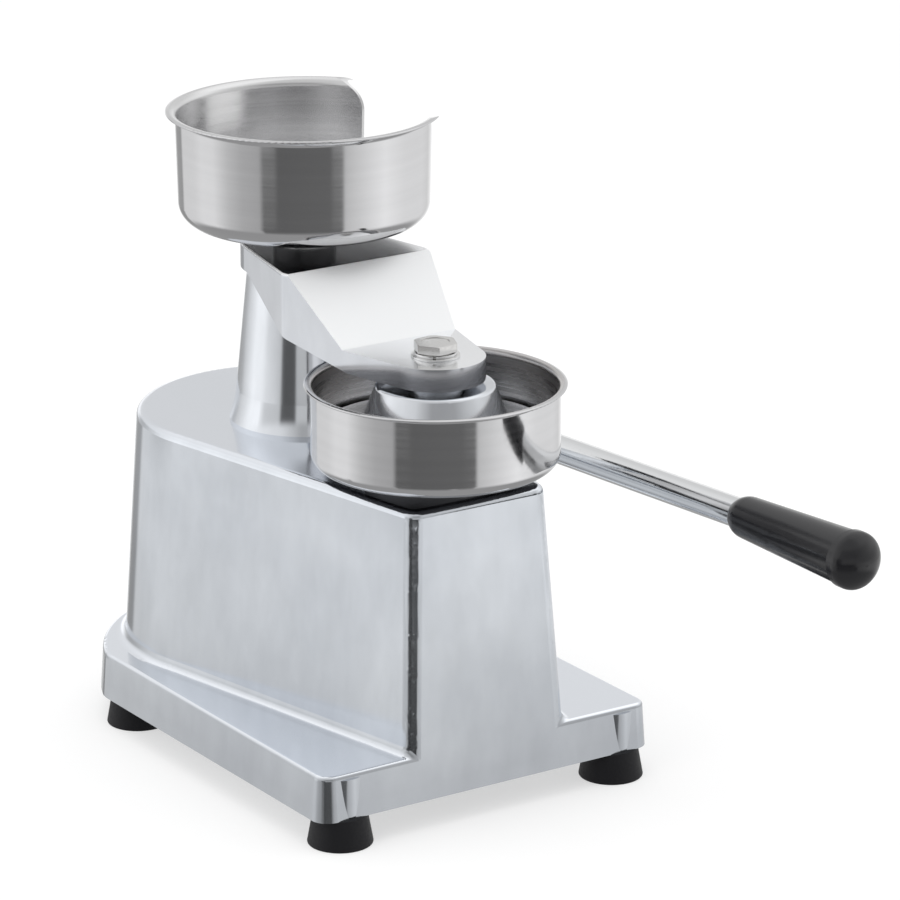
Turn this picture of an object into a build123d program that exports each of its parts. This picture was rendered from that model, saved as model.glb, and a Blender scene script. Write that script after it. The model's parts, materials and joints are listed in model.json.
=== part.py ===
from build123d import *
from math import asin, atan, atan2, cos, degrees, hypot, pi, radians, sin, tan
import os

# Burger press, in millimetres. The origin is on the table, midway between the four feet.
# X points to the right, where the lever is, Y to the rear and Z up.

# Places of the two vertical axes and of the cross shaft
bowl_y = -64.5
column_y = 64.5
shaft_setback = 30.0
shaft_drop = 19.0

# Cast housing: a foot plate that carries a tapering body with a flat, polished top
draft_angle = 3.8
plate_thickness = 25.0
plate_half_width = 103.4
plate_corner_radius = 8.0
plate_side_end_y = 110.0
plate_back_ledge = 3.0
plate_haunch_radius = 20.0
plate_edge_radius = 2.5
body_height = 131.5
body_front_y = -106.5
body_front_half_width = 42.0
body_back_radius = 79.0
body_back_center_y = 92.0
body_corner_radius = 8.0
body_top_edge_radius = 4.5
body_foot_radius = 5.5
wall = 6.0
cavity_corner_radius = 3.0

# Rubber feet and their screws
foot_height = 16.5
foot_side_inset = 17.0
foot_front_inset = 10.2
foot_base_radius = 17.6
foot_top_radius = 14.6
foot_recess_radius = 8.5
foot_recess_depth = 10.0
foot_pad_radius = 12.0
foot_screw_radius = 3.0
foot_screw_length = 22.0
foot_screw_head_radius = 5.4
foot_screw_head = 3.6
foot_washer_thickness = 1.2
foot_edge = 1.0
foot_washer_play = 0.5
foot_hole_spare = 1.0
screw_play = 0.05
touch = 0.01

# Column, a turned casting pressed into the top of the housing
column_height = 84.0
column_foot_radius = 42.0
column_foot_lip = 1.6
column_waist_radius = 38.2
column_waist_height = 18.0
column_top_radius = 31.6
column_top_edge = 1.5
column_pocket_height = 27.0
spigot_outer_radius = 38.5
spigot_wall = 3.5
cavity_top_radius = 25.0
guide_bush_wall = 3.5
guide_bush_length = 18.0
bush_relief = 1.0
running_play = 0.05

# Plunger that rises in the column and carries the arm
plunger_radius = 15.0
plunger_flat_half = 10.0
plunger_flat_drop = 17.5
plunger_shoulder_gap = 1.5
plunger_spigot_radius = 10.0
cross_pin_radius = 5.0
cross_pin_overhang = 1.9
clip_thickness = 1.2
clip_radius = 8.0
clip_groove_depth = 1.0
clip_play = 0.6
spigot_proud = 0.5

# Lift: the fork turns through lever_swing, and its pin moves lift_per_radian of height
slot_half_stroke = 22.0
lift_per_radian = 33.6

# Lifting fork and cross shaft
shaft_radius = 8.0
fork_hub_wall = 3.5
fork_cheek_gap = 0.3
fork_cheek_width = 5.0
fork_reach = 45.0
fork_slot_start = 24.0
fork_slot_play = 0.9
fork_prong_width = 4.6
fork_pin_radius = 2.5
shaft_overhang = 4.0
shaft_clip_width = 4.0
lug_left_x = -52.0
lug_right_x = -38.0
lug_side_wall = 3.0
lug_foot_wall = 4.0
side_boss_proud = 7.74
side_boss_length = 24.0
side_boss_wall = 5.0
shaft_bush_wall = 3.0
shaft_flange_width = 3.0
shaft_bush_flange = 1.5
shaft_washer_thickness = 1.0

# Lever: hub, rod, lock nut and moulded grip
lever_rest_angle = 3.2
hub_radius = 16.0
hub_half_length = 13.5
hub_neck_wall = 4.0
hub_neck_reach = 24.0
hub_pin_radius = 3.0
hub_edge = 1.5
rod_radius = 8.0
rod_start = 9.0
rod_end = 380.0
rod_edge = 1.0
nut_across_flats = 24.0
nut_height = 8.0
grip_start = 288.5
grip_length = 106.0
grip_drop = 0.3
grip_tilt = 1.7
grip_face_radius = 8.6
grip_start_radius = 11.3
grip_end_radius = 14.5
grip_cap_radius = 15.3
grip_shoulder = 8.0
grip_cap_length = 14.0
grip_dome_length = 10.5
grip_rim_radius = 6.5
grip_bore_play = 0.1
grip_bore_spare = 1.0
flute_count = 6
flute_radius = 6.8
flute_depth = 1.6
flute_start = 34.5
flute_spacing = 36.0
flute_land = 0.8
end_washer_radius = 13.0
end_washer_thickness = 2.0
end_screw_radius = 4.0
end_screw_across_flats = 13.0
end_screw_head = 5.5
end_screw_bite = 9.0

# Swing arm: a kite plan with a sloping face down to a flat nose
arm_crown = 14.0
arm_skirt_gap = 1.6
arm_skirt_wall = 1.8
arm_nose_radius = 26.5
arm_nose_drop = 33.5
arm_nose_thickness = 12.1
arm_corner_x = 40.0
arm_corner_y = 14.0
arm_corner_radius = 6.0
arm_slope_top_y = 10.0
arm_slope_foot_y = -29.5
arm_belly_y = -33.0
arm_heel_y = 11.0
arm_heel_drop = 36.0
arm_skirt_end_y = 67.0
arm_edge_radius = 1.6
arm_cut_over = 1.0
thrust_washer = 1.5
arm_washer_width = 6.0

# Press head and its bolt
head_height = 33.0
head_top_radius = 31.5
head_mid_radius = 36.0
head_mid_drop = 12.6
head_cone_radius = 41.0
head_flange_thickness = 8.2
head_flange_play = 2.6
head_top_edge = 2.5
head_flange_edge = 1.2
head_bolt_radius = 7.0
head_bolt_across_flats = 21.0
head_bolt_head = 5.0
head_bolt_turn = 7.0
head_bolt_bite = 14.0
head_bolt_spare = 0.3
head_washer_radius = 13.0
head_washer_thickness = 1.2
head_spacer_radius = 14.0
head_spacer_thickness = 2.8
lock_washer_radius = 11.5
lock_washer_thickness = 1.5

# Mould bowl, its seat and the ejector
sheet = 1.2
bowl_depth = 44.2
bowl_wall_radius = 66.0
bowl_lip_width = 3.4
bowl_lip_height = 2.6
bowl_corner_radius = 6.0
seat_height = 9.0
seat_radius = 37.5
seat_screw_pcd_radius = 26.0
seat_screw_count = 3
seat_screw_radius = 2.5
seat_screw_across_flats = 8.0
seat_screw_head = 3.5
seat_screw_bite = 6.0
bowl_screw_pcd_radius = 29.0
bowl_screw_radius = 2.5
bowl_screw_head_radius = 4.6
bowl_screw_length = 8.0
bowl_screw_count = 3
bowl_screw_turn = 60.0
ejector_plate_margin = 5.6
ejector_plate_thickness = 2.4
ejector_plate_edge = 0.6
ejector_stem_radius = 6.0
ejector_stub_radius = 3.0
ejector_stem_edge = 1.0
ejector_bush_wall = 3.0
ejector_bush_sink = 0.3
ejector_boss_wall = 6.0
ejector_boss_length = 21.0
ejector_rise = 32.0
meeting_gap = 0.3

# Lifting beam under the plunger
beam_drop = 49.3
beam_thickness = 12.0
beam_rear_radius = 15.0
beam_front_radius = 12.0
beam_screw_radius = 5.0
beam_screw_across_flats = 17.0
beam_screw_head = 6.4
beam_screw_bite = 16.0

# Paper dish with its cut-out, and what holds it
dish_depth = 61.6
dish_wall_radius = 69.2
dish_wall_lean = 1.2
dish_lip_width = 5.2
dish_lip_height = 4.2
dish_corner_radius = 11.0
dish_cut_turn = -3.5
dish_cut_half_width = 37.2
dish_cut_height = 14.0
dish_cut_corner = 12.0
dish_cut_lead_in = 17.0
dish_cut_over = 0.2
dish_spacer_radius = 17.0
dish_spacer_height = 9.0
dish_screw_radius = 4.0
dish_screw_across_flats = 13.0
dish_screw_head = 5.3
dish_screw_bite = 18.0
dish_washer_radius = 9.0
dish_washer_thickness = 1.6


def growth(height):
    """How far a drafted wall moves outwards over a height."""
    return height * tan(radians(draft_angle))


def hexagon_radius(across_flats):
    """Corner radius of a hexagon from its width across flats."""
    return across_flats / 2 / cos(pi / 6)


# Heights of the housing, the column and the shaft, each from what carries it
plate_bottom_z = foot_height
plate_top_z = plate_bottom_z + plate_thickness
body_top_z = plate_top_z + body_height
cavity_ceiling_z = body_top_z - wall
shaft_y = column_y + shaft_setback
shaft_z = body_top_z - shaft_drop
column_top_z = body_top_z + column_height
column_waist_z = body_top_z + column_waist_height
cavity_top_z = body_top_z + column_pocket_height

# Plan of the plate and places of the feet
plate_front_y = body_front_y - growth(body_height)
plate_back_y = body_back_center_y + body_back_radius + growth(body_height) + plate_back_ledge
foot_x = plate_half_width - foot_side_inset
foot_y = -plate_front_y - foot_front_inset

# Swing of the lever and lift of the plunger
fork_angle = degrees(atan(slot_half_stroke / shaft_setback))
lever_swing = 2 * fork_angle
lift = lift_per_radian * radians(lever_swing)
cross_pin_z = shaft_z - lift / 2

# Plunger, arm, press head and bolt, from the top of the column
plunger_shoulder_z = column_top_z + plunger_shoulder_gap
plunger_flat_top_z = body_top_z - plunger_flat_drop
socket_top_z = plunger_shoulder_z + thrust_washer
arm_top_z = socket_top_z + arm_crown
arm_nose_top_z = arm_top_z - arm_nose_drop
arm_nose_bottom_z = arm_nose_top_z - arm_nose_thickness
arm_heel_z = arm_top_z - arm_heel_drop
spigot_top_z = arm_top_z + thrust_washer + spigot_proud
head_top_z = arm_nose_bottom_z - head_spacer_thickness
head_mid_z = head_top_z - head_mid_drop
head_bottom_z = head_top_z - head_height
head_flange_top_z = head_bottom_z + head_flange_thickness
bolt_seat_z = arm_nose_top_z + head_washer_thickness + lock_washer_thickness

# Bowl, dish and beam, from what they stand on or hang from
bowl_bottom_z = body_top_z + seat_height
bowl_floor_z = bowl_bottom_z + sheet
bowl_rim_z = bowl_bottom_z + bowl_depth
ejector_boss_bottom_z = body_top_z - ejector_boss_length
dish_floor_z = spigot_top_z + dish_spacer_height
dish_rim_z = dish_floor_z + dish_depth
dish_cut_bottom_z = dish_floor_z + dish_cut_height
beam_top_z = shaft_z - beam_drop

# Radii of what runs in, fits round or clears another piece
guide_bush_radius = plunger_radius + guide_bush_wall
spigot_inner_radius = spigot_outer_radius - spigot_wall
arm_washer_radius = plunger_spigot_radius + arm_washer_width
arm_recess_radius = column_top_radius + arm_skirt_gap
arm_back_radius = arm_recess_radius + arm_skirt_wall
fork_hub_radius = shaft_radius + fork_hub_wall
fork_slot_half = cross_pin_radius + fork_slot_play
fork_prong_half = fork_slot_half + fork_prong_width
shaft_bush_radius = shaft_radius + shaft_bush_wall
shaft_bush_flange_radius = shaft_bush_radius + shaft_flange_width
shaft_clip_radius = shaft_radius + shaft_clip_width
side_boss_radius = shaft_bush_radius + side_boss_wall
hub_neck_radius = rod_radius + hub_neck_wall
bowl_rim_radius = bowl_wall_radius + bowl_lip_width
head_flange_radius = bowl_wall_radius - sheet - head_flange_play
ejector_plate_radius = bowl_wall_radius - sheet - ejector_plate_margin
ejector_bush_radius = ejector_stem_radius + ejector_bush_wall
ejector_boss_radius = ejector_bush_radius + ejector_boss_wall
dish_rim_radius = dish_wall_radius + dish_lip_width
dish_floor_wall_radius = dish_wall_radius - dish_wall_lean

# Bosses of the cross shaft: a lug inside on the left, and one through the right wall
lug_half_length = shaft_bush_radius + lug_side_wall
lug_foot_z = shaft_z - shaft_bush_radius - lug_foot_wall
side_boss_outer_x = body_back_radius + growth(shaft_drop) + side_boss_proud
side_boss_inner_x = side_boss_outer_x - side_boss_length

os.makedirs("parts", exist_ok=True)


def save(part, name):
    """Label a finished piece and write its STEP file."""
    part.label = name
    export_step(part, "parts/" + name + ".step")


# The body's side walls run from the front corners and meet the round back smoothly.
side_run = hypot(body_front_half_width, body_back_center_y - body_front_y)
side_turn = (asin(body_back_radius / side_run)
             - atan2(body_front_half_width, body_back_center_y - body_front_y))
side_end_x = body_back_radius * cos(side_turn)
side_end_y = body_back_center_y - body_back_radius * sin(side_turn)

# Plan outline of the body at its top
with BuildSketch() as body_plan:
    with BuildLine():
        Line((side_end_x, side_end_y), (body_front_half_width, body_front_y))
        Line((body_front_half_width, body_front_y), (-body_front_half_width, body_front_y))
        Line((-body_front_half_width, body_front_y), (-side_end_x, side_end_y))
        ThreePointArc((-side_end_x, side_end_y),
                      (0, body_back_center_y + body_back_radius),
                      (side_end_x, side_end_y))
    make_face()

# Plan outline of the foot plate at its top
with BuildSketch() as plate_plan:
    with BuildLine():
        Line((plate_half_width, plate_side_end_y), (plate_half_width, plate_front_y))
        Line((plate_half_width, plate_front_y), (-plate_half_width, plate_front_y))
        Line((-plate_half_width, plate_front_y), (-plate_half_width, plate_side_end_y))
        ThreePointArc((-plate_half_width, plate_side_end_y), (0, plate_back_y),
                      (plate_half_width, plate_side_end_y))
    make_face()
    fillet(plate_plan.vertices().group_by(Axis.Y)[0], plate_corner_radius)
    fillet(plate_plan.vertices().group_by(Axis.Y)[-1], plate_haunch_radius)

feet_places = [(sx * foot_x, sy * foot_y) for sx in (-1, 1) for sy in (-1, 1)]
foot_screw_seat_z = foot_recess_depth - foot_washer_thickness
foot_screw_end_z = foot_screw_seat_z + foot_screw_length

# Tapering body of the housing, before it is joined to the plate
with BuildPart() as body_block:
    with BuildSketch(Plane.XY.offset(body_top_z)):
        add(body_plan.sketch)
    extrude(amount=-(body_top_z - plate_bottom_z), taper=-draft_angle)
    front_corners = body_block.edges().filter_by_position(Axis.Z, plate_top_z, shaft_z).sort_by(Axis.Y)[:2]
    fillet(front_corners, body_corner_radius)
    fillet(body_block.faces().sort_by(Axis.Z)[-1].edges(), body_top_edge_radius)

# Housing: plate and body are one casting, hollow and open underneath.
with BuildPart() as housing:
    with BuildSketch(Plane.XY.offset(plate_top_z)):
        add(plate_plan.sketch)
    extrude(amount=-(plate_top_z - plate_bottom_z), taper=-draft_angle)
    fillet(housing.faces().sort_by(Axis.Z)[-1].edges(), plate_edge_radius)
    add(body_block.part)
    joint_lines = housing.edges(Select.NEW)
    foot_lines = joint_lines.filter_by_position(Axis.Z, plate_top_z - touch, plate_top_z + touch)
    fillet(foot_lines, body_foot_radius)
    with BuildSketch(Plane.XY.offset(cavity_ceiling_z)) as cavity_plan:
        add(body_plan.sketch)
        offset(amount=-wall, kind=Kind.INTERSECTION)
        fillet(cavity_plan.vertices().group_by(Axis.Y)[0], cavity_corner_radius)
    extrude(amount=-(cavity_ceiling_z - plate_bottom_z), taper=-draft_angle, mode=Mode.SUBTRACT)
    with BuildSketch(Plane.XY.offset(plate_top_z - wall)):
        add(plate_plan.sketch)
        offset(amount=-wall)
    extrude(amount=-(plate_top_z - wall - plate_bottom_z), taper=-draft_angle, mode=Mode.SUBTRACT)
    # Pads over the feet, with a threaded hole each
    with BuildSketch(Plane.XY.offset(plate_bottom_z)):
        with Locations(*feet_places):
            Circle(foot_pad_radius)
    extrude(amount=plate_top_z - wall / 2 - plate_bottom_z)
    with BuildSketch(Plane.XY.offset(plate_bottom_z)):
        with Locations(*feet_places):
            Circle(foot_screw_radius + screw_play)
    extrude(amount=foot_screw_end_z + foot_hole_spare - plate_bottom_z, mode=Mode.SUBTRACT)
    # Boss for the ejector bush, and the hole through it
    with BuildSketch(Plane.XY.offset(ejector_boss_bottom_z)):
        with Locations((0, bowl_y)):
            Circle(ejector_boss_radius)
    extrude(amount=cavity_ceiling_z + wall / 2 - ejector_boss_bottom_z)
    with BuildSketch(Plane.XY.offset(ejector_boss_bottom_z)):
        with Locations((0, bowl_y)):
            Circle(ejector_bush_radius + screw_play)
    extrude(amount=body_top_z - ejector_boss_bottom_z, mode=Mode.SUBTRACT)
    # Round opening for the spigot of the column, and holes for the seat screws
    with BuildSketch(Plane.XY.offset(cavity_ceiling_z)):
        with Locations((0, column_y)):
            Circle(spigot_outer_radius + screw_play)
        with Locations((0, bowl_y)):
            with PolarLocations(seat_screw_pcd_radius, seat_screw_count):
                Circle(seat_screw_radius + screw_play)
    extrude(amount=wall, mode=Mode.SUBTRACT)
    # Lug for the left end of the cross shaft, hanging from the top wall
    with BuildSketch(Plane.YZ.offset(lug_left_x)):
        with BuildLine():
            Polyline((shaft_y - lug_half_length, shaft_z),
                     (shaft_y - lug_half_length, cavity_ceiling_z + wall / 2),
                     (shaft_y + lug_half_length, cavity_ceiling_z + wall / 2),
                     (shaft_y + lug_half_length, shaft_z))
            ThreePointArc((shaft_y + lug_half_length, shaft_z), (shaft_y, lug_foot_z),
                          (shaft_y - lug_half_length, shaft_z))
        make_face()
    extrude(amount=lug_right_x - lug_left_x)
    # Boss through the right wall, and the bores for both shaft bushes
    with BuildSketch(Plane.YZ.offset(side_boss_inner_x)):
        with Locations((shaft_y, shaft_z)):
            Circle(side_boss_radius)
    extrude(amount=side_boss_outer_x - side_boss_inner_x)
    with BuildSketch(Plane.YZ.offset(lug_left_x)):
        with Locations((shaft_y, shaft_z)):
            Circle(shaft_bush_radius + screw_play)
    extrude(amount=lug_right_x - lug_left_x, mode=Mode.SUBTRACT)
    with BuildSketch(Plane.YZ.offset(side_boss_inner_x)):
        with Locations((shaft_y, shaft_z)):
            Circle(shaft_bush_radius + screw_play)
    extrude(amount=side_boss_outer_x - side_boss_inner_x, mode=Mode.SUBTRACT)
save(housing.part, "housing")

# Foot: a tapered rubber buffer with a recess for its screw
with BuildPart() as foot:
    with BuildSketch(Plane.XZ):
        with BuildLine():
            Polyline((0, 0), (foot_base_radius, 0), (foot_top_radius, plate_bottom_z),
                     (0, plate_bottom_z), close=True)
        make_face()
    revolve(axis=Axis.Z)
    fillet(foot.edges().group_by(Axis.Z)[0], foot_edge)
    with BuildSketch(Plane.XY):
        Circle(foot_recess_radius)
    extrude(amount=foot_recess_depth, mode=Mode.SUBTRACT)
    with BuildSketch(Plane.XY):
        Circle(foot_screw_radius + screw_play)
    extrude(amount=plate_bottom_z, mode=Mode.SUBTRACT)
foot_names = {(-1, -1): "foot_front_left", (1, -1): "foot_front_right",
              (-1, 1): "foot_rear_left", (1, 1): "foot_rear_right"}
for (side, end), foot_name in foot_names.items():
    save(foot.part.moved(Location((side * foot_x, end * foot_y, 0))), foot_name)

with BuildPart() as foot_washers:
    with BuildSketch(Plane.XY.offset(foot_screw_seat_z)):
        with Locations(*feet_places):
            Circle(foot_recess_radius - foot_washer_play)
            Circle(foot_screw_radius + screw_play, mode=Mode.SUBTRACT)
    extrude(amount=foot_washer_thickness)
save(foot_washers.part, "foot_washers")

with BuildPart() as foot_screws:
    with BuildSketch(Plane.XY.offset(foot_screw_seat_z)):
        with Locations(*feet_places):
            Circle(foot_screw_head_radius)
    extrude(amount=-foot_screw_head)
    with BuildSketch(Plane.XY.offset(foot_screw_seat_z)):
        with Locations(*feet_places):
            Circle(foot_screw_radius)
    extrude(amount=foot_screw_length)
save(foot_screws.part, "foot_screws")

# Column: turned outside, with a flared foot, a spigot and two bush seats.
# The profile lies in the plane of the column axis, as radius and height.
column_slope = (column_waist_radius - column_top_radius) / (column_top_z - column_waist_z)
lower_bush_z = cavity_top_z
upper_bush_z = column_top_z - guide_bush_length
with BuildPart() as column:
    with BuildSketch(Plane.XZ.offset(-column_y)):
        with BuildLine():
            Polyline((column_waist_radius, column_waist_z), (column_top_radius, column_top_z),
                     (guide_bush_radius, column_top_z), (guide_bush_radius, upper_bush_z),
                     (guide_bush_radius - bush_relief, upper_bush_z),
                     (guide_bush_radius - bush_relief, lower_bush_z + guide_bush_length),
                     (guide_bush_radius, lower_bush_z + guide_bush_length),
                     (guide_bush_radius, lower_bush_z), (cavity_top_radius, cavity_top_z),
                     (spigot_inner_radius, body_top_z), (spigot_inner_radius, cavity_ceiling_z),
                     (spigot_outer_radius, cavity_ceiling_z), (spigot_outer_radius, body_top_z),
                     (column_foot_radius, body_top_z),
                     (column_foot_radius, body_top_z + column_foot_lip))
            TangentArc((column_waist_radius, column_waist_z),
                       (column_foot_radius, body_top_z + column_foot_lip),
                       tangent=(column_slope, -1))
        make_face()
    revolve(axis=Axis((0, column_y, 0), (0, 0, 1)))
    fillet(column.edges().filter_by(GeomType.CIRCLE).group_by(Axis.Z)[-1].sort_by(SortBy.RADIUS)[-1],
           column_top_edge)
save(column.part, "column")

for bush_name, bush_z in (("lower_guide_bush", lower_bush_z), ("upper_guide_bush", upper_bush_z)):
    with BuildPart() as guide_bush:
        with BuildSketch(Plane.XY.offset(bush_z)):
            with Locations((0, column_y)):
                Circle(guide_bush_radius)
                Circle(plunger_radius + running_play, mode=Mode.SUBTRACT)
        extrude(amount=guide_bush_length)
    save(guide_bush.part, bush_name)

# Bronze bushes of the cross shaft: a flanged one in the right wall, a plain one in the lug
with BuildPart() as shaft_bush_right:
    with BuildSketch(Plane.YZ.offset(side_boss_inner_x)):
        with Locations((shaft_y, shaft_z)):
            Circle(shaft_bush_radius)
    extrude(amount=side_boss_outer_x - side_boss_inner_x)
    with BuildSketch(Plane.YZ.offset(side_boss_outer_x)):
        with Locations((shaft_y, shaft_z)):
            Circle(shaft_bush_flange_radius)
    extrude(amount=shaft_bush_flange)
    with BuildSketch(Plane.YZ.offset(side_boss_inner_x)):
        with Locations((shaft_y, shaft_z)):
            Circle(shaft_radius + running_play)
    extrude(amount=side_boss_outer_x - side_boss_inner_x + shaft_bush_flange, mode=Mode.SUBTRACT)
save(shaft_bush_right.part, "shaft_bush_right")

with BuildPart() as shaft_bush_left:
    with BuildSketch(Plane.YZ.offset(lug_left_x)):
        with Locations((shaft_y, shaft_z)):
            Circle(shaft_bush_radius)
            Circle(shaft_radius + running_play, mode=Mode.SUBTRACT)
    extrude(amount=lug_right_x - lug_left_x)
save(shaft_bush_left.part, "shaft_bush_left")

# Bowl seat: a turned disc that lifts the bowl clear of the polished top
with BuildPart() as bowl_seat:
    with BuildSketch(Plane.XY.offset(body_top_z)):
        with Locations((0, bowl_y)):
            Circle(seat_radius)
            Circle(ejector_bush_radius + screw_play, mode=Mode.SUBTRACT)
    extrude(amount=bowl_bottom_z - body_top_z)
    with BuildSketch(Plane.XY.offset(body_top_z)):
        with Locations((0, bowl_y)):
            with PolarLocations(seat_screw_pcd_radius, seat_screw_count):
                Circle(seat_screw_radius + screw_play)
    extrude(amount=seat_screw_bite, mode=Mode.SUBTRACT)
    with Locations(Plane.XY.offset(bowl_floor_z)):
        with Locations((0, bowl_y)):
            with PolarLocations(bowl_screw_pcd_radius, bowl_screw_count, start_angle=bowl_screw_turn):
                CounterSinkHole(bowl_screw_radius + screw_play, bowl_screw_head_radius + screw_play,
                                depth=bowl_screw_length, counter_sink_angle=90)
save(bowl_seat.part, "bowl_seat")

with BuildPart() as seat_screws:
    with BuildSketch(Plane.XY.offset(cavity_ceiling_z)):
        with Locations((0, bowl_y)):
            with PolarLocations(seat_screw_pcd_radius, seat_screw_count):
                RegularPolygon(hexagon_radius(seat_screw_across_flats), 6)
    extrude(amount=-seat_screw_head)
    with BuildSketch(Plane.XY.offset(cavity_ceiling_z)):
        with Locations((0, bowl_y)):
            with PolarLocations(seat_screw_pcd_radius, seat_screw_count):
                Circle(seat_screw_radius)
    extrude(amount=wall + seat_screw_bite)
save(seat_screws.part, "seat_screws")

# Mould bowl: spun sheet with a rolled-out lip
with BuildPart() as mould_bowl:
    with BuildSketch(Plane.XZ.offset(-bowl_y)):
        with BuildLine() as bowl_line:
            bowl_bend = FilletPolyline((0, bowl_bottom_z + sheet / 2),
                                       (bowl_wall_radius - sheet / 2, bowl_bottom_z + sheet / 2),
                                       (bowl_wall_radius - sheet / 2, bowl_rim_z - bowl_lip_height),
                                       radius=bowl_corner_radius)
            TangentArc(bowl_bend @ 1, (bowl_rim_radius - sheet / 2, bowl_rim_z - sheet / 2),
                       tangent=bowl_bend % 1)
            offset(amount=sheet / 2)
        make_face()
        with Locations((-bowl_wall_radius, 0)):
            Rectangle(2 * bowl_wall_radius, 2 * bowl_rim_z, mode=Mode.SUBTRACT)
    revolve(axis=Axis((0, bowl_y, 0), (0, 0, 1)))
    with Locations(Plane.XY.offset(bowl_floor_z)):
        with Locations((0, bowl_y)):
            Hole(ejector_bush_radius + screw_play, depth=2 * sheet)
            with PolarLocations(bowl_screw_pcd_radius, bowl_screw_count, start_angle=bowl_screw_turn):
                CounterSinkHole(bowl_screw_radius + screw_play, bowl_screw_head_radius + screw_play,
                                depth=2 * sheet, counter_sink_angle=90)
save(mould_bowl.part, "mould_bowl")

with BuildPart() as bowl_screws:
    with BuildSketch(Plane.XY.offset(bowl_floor_z)):
        with Locations((0, bowl_y)):
            with PolarLocations(bowl_screw_pcd_radius, bowl_screw_count, start_angle=bowl_screw_turn):
                Circle(bowl_screw_head_radius)
    extrude(amount=-(bowl_screw_head_radius - bowl_screw_radius), taper=45)
    with BuildSketch(Plane.XY.offset(bowl_floor_z)):
        with Locations((0, bowl_y)):
            with PolarLocations(bowl_screw_pcd_radius, bowl_screw_count, start_angle=bowl_screw_turn):
                Circle(bowl_screw_radius)
    extrude(amount=-bowl_screw_length)
save(bowl_screws.part, "bowl_screws")

# Ejector: a bush through the top wall and the seat, a plate on the bowl floor and its stem
with BuildPart() as ejector_bush:
    with BuildSketch(Plane.XY.offset(ejector_boss_bottom_z)):
        with Locations((0, bowl_y)):
            Circle(ejector_bush_radius)
            Circle(ejector_stem_radius + running_play, mode=Mode.SUBTRACT)
    extrude(amount=bowl_floor_z - ejector_bush_sink - ejector_boss_bottom_z)
save(ejector_bush.part, "ejector_bush")

stem_foot_z = beam_top_z + lift - ejector_rise + meeting_gap
with BuildPart() as ejector_plate:
    with BuildSketch(Plane.XY.offset(bowl_floor_z)):
        with Locations((0, bowl_y)):
            Circle(ejector_plate_radius)
            Circle(ejector_stub_radius + screw_play, mode=Mode.SUBTRACT)
    extrude(amount=ejector_plate_thickness)
    fillet(ejector_plate.edges().filter_by(GeomType.CIRCLE).sort_by(SortBy.RADIUS)[-2:], ejector_plate_edge)
save(ejector_plate.part, "ejector_plate")

with BuildPart() as ejector_stem:
    with BuildSketch(Plane.XY.offset(stem_foot_z)):
        with Locations((0, bowl_y)):
            Circle(ejector_stem_radius)
    extrude(amount=bowl_floor_z - stem_foot_z)
    chamfer(ejector_stem.edges().group_by(Axis.Z)[0], ejector_stem_edge)
    with BuildSketch(Plane.XY.offset(bowl_floor_z)):
        with Locations((0, bowl_y)):
            Circle(ejector_stub_radius)
    extrude(amount=ejector_plate_thickness)
save(ejector_stem.part, "ejector_stem")

# Plunger: a ground shaft with flats for the fork and a spigot for the arm
with BuildPart() as plunger_shaft:
    with BuildSketch(Plane.XY.offset(beam_top_z)):
        with Locations((0, column_y)):
            Circle(plunger_radius)
            Rectangle(2 * plunger_flat_half, 2 * plunger_radius, mode=Mode.INTERSECT)
    extrude(amount=plunger_flat_top_z - beam_top_z)
    with BuildSketch(Plane.XY.offset(plunger_flat_top_z)):
        with Locations((0, column_y)):
            Circle(plunger_radius)
    extrude(amount=plunger_shoulder_z - plunger_flat_top_z)
    with BuildSketch(Plane.XY.offset(plunger_shoulder_z)):
        with Locations((0, column_y)):
            Circle(plunger_spigot_radius)
    extrude(amount=spigot_top_z - plunger_shoulder_z)
    with BuildSketch(Plane.YZ.offset(-plunger_flat_half)):
        with Locations((column_y, cross_pin_z)):
            Circle(cross_pin_radius + screw_play)
    extrude(amount=2 * plunger_flat_half, mode=Mode.SUBTRACT)
    with BuildSketch(Plane.XY.offset(beam_top_z)):
        with Locations((0, column_y)):
            Circle(beam_screw_radius + screw_play)
    extrude(amount=beam_screw_bite, mode=Mode.SUBTRACT)
    with BuildSketch(Plane.XY.offset(spigot_top_z)):
        with Locations((0, column_y)):
            Circle(dish_screw_radius + screw_play)
    extrude(amount=-dish_screw_bite, mode=Mode.SUBTRACT)
save(plunger_shaft.part, "plunger_shaft")

# Cross pin through the plunger, held by a clip at each end
clip_inner_x = plunger_flat_half + fork_cheek_gap + fork_cheek_width + clip_play
cross_pin_half_length = clip_inner_x + clip_thickness + cross_pin_overhang
with BuildPart() as cross_pin:
    with BuildSketch(Plane.YZ.offset(-cross_pin_half_length)):
        with Locations((column_y, cross_pin_z)):
            Circle(cross_pin_radius)
    extrude(amount=2 * cross_pin_half_length)
    for clip_x in (clip_inner_x, -clip_inner_x - clip_thickness):
        with BuildSketch(Plane.YZ.offset(clip_x)):
            with Locations((column_y, cross_pin_z)):
                Circle(cross_pin_radius)
                Circle(cross_pin_radius - clip_groove_depth, mode=Mode.SUBTRACT)
        extrude(amount=clip_thickness, mode=Mode.SUBTRACT)
save(cross_pin.part, "cross_pin")

with BuildPart() as pin_clips:
    for clip_x in (clip_inner_x, -clip_inner_x - clip_thickness):
        with BuildSketch(Plane.YZ.offset(clip_x)):
            with Locations((column_y, cross_pin_z)):
                Circle(clip_radius)
                Circle(cross_pin_radius - clip_groove_depth, mode=Mode.SUBTRACT)
        extrude(amount=clip_thickness)
save(pin_clips.part, "pin_clips")

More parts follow.
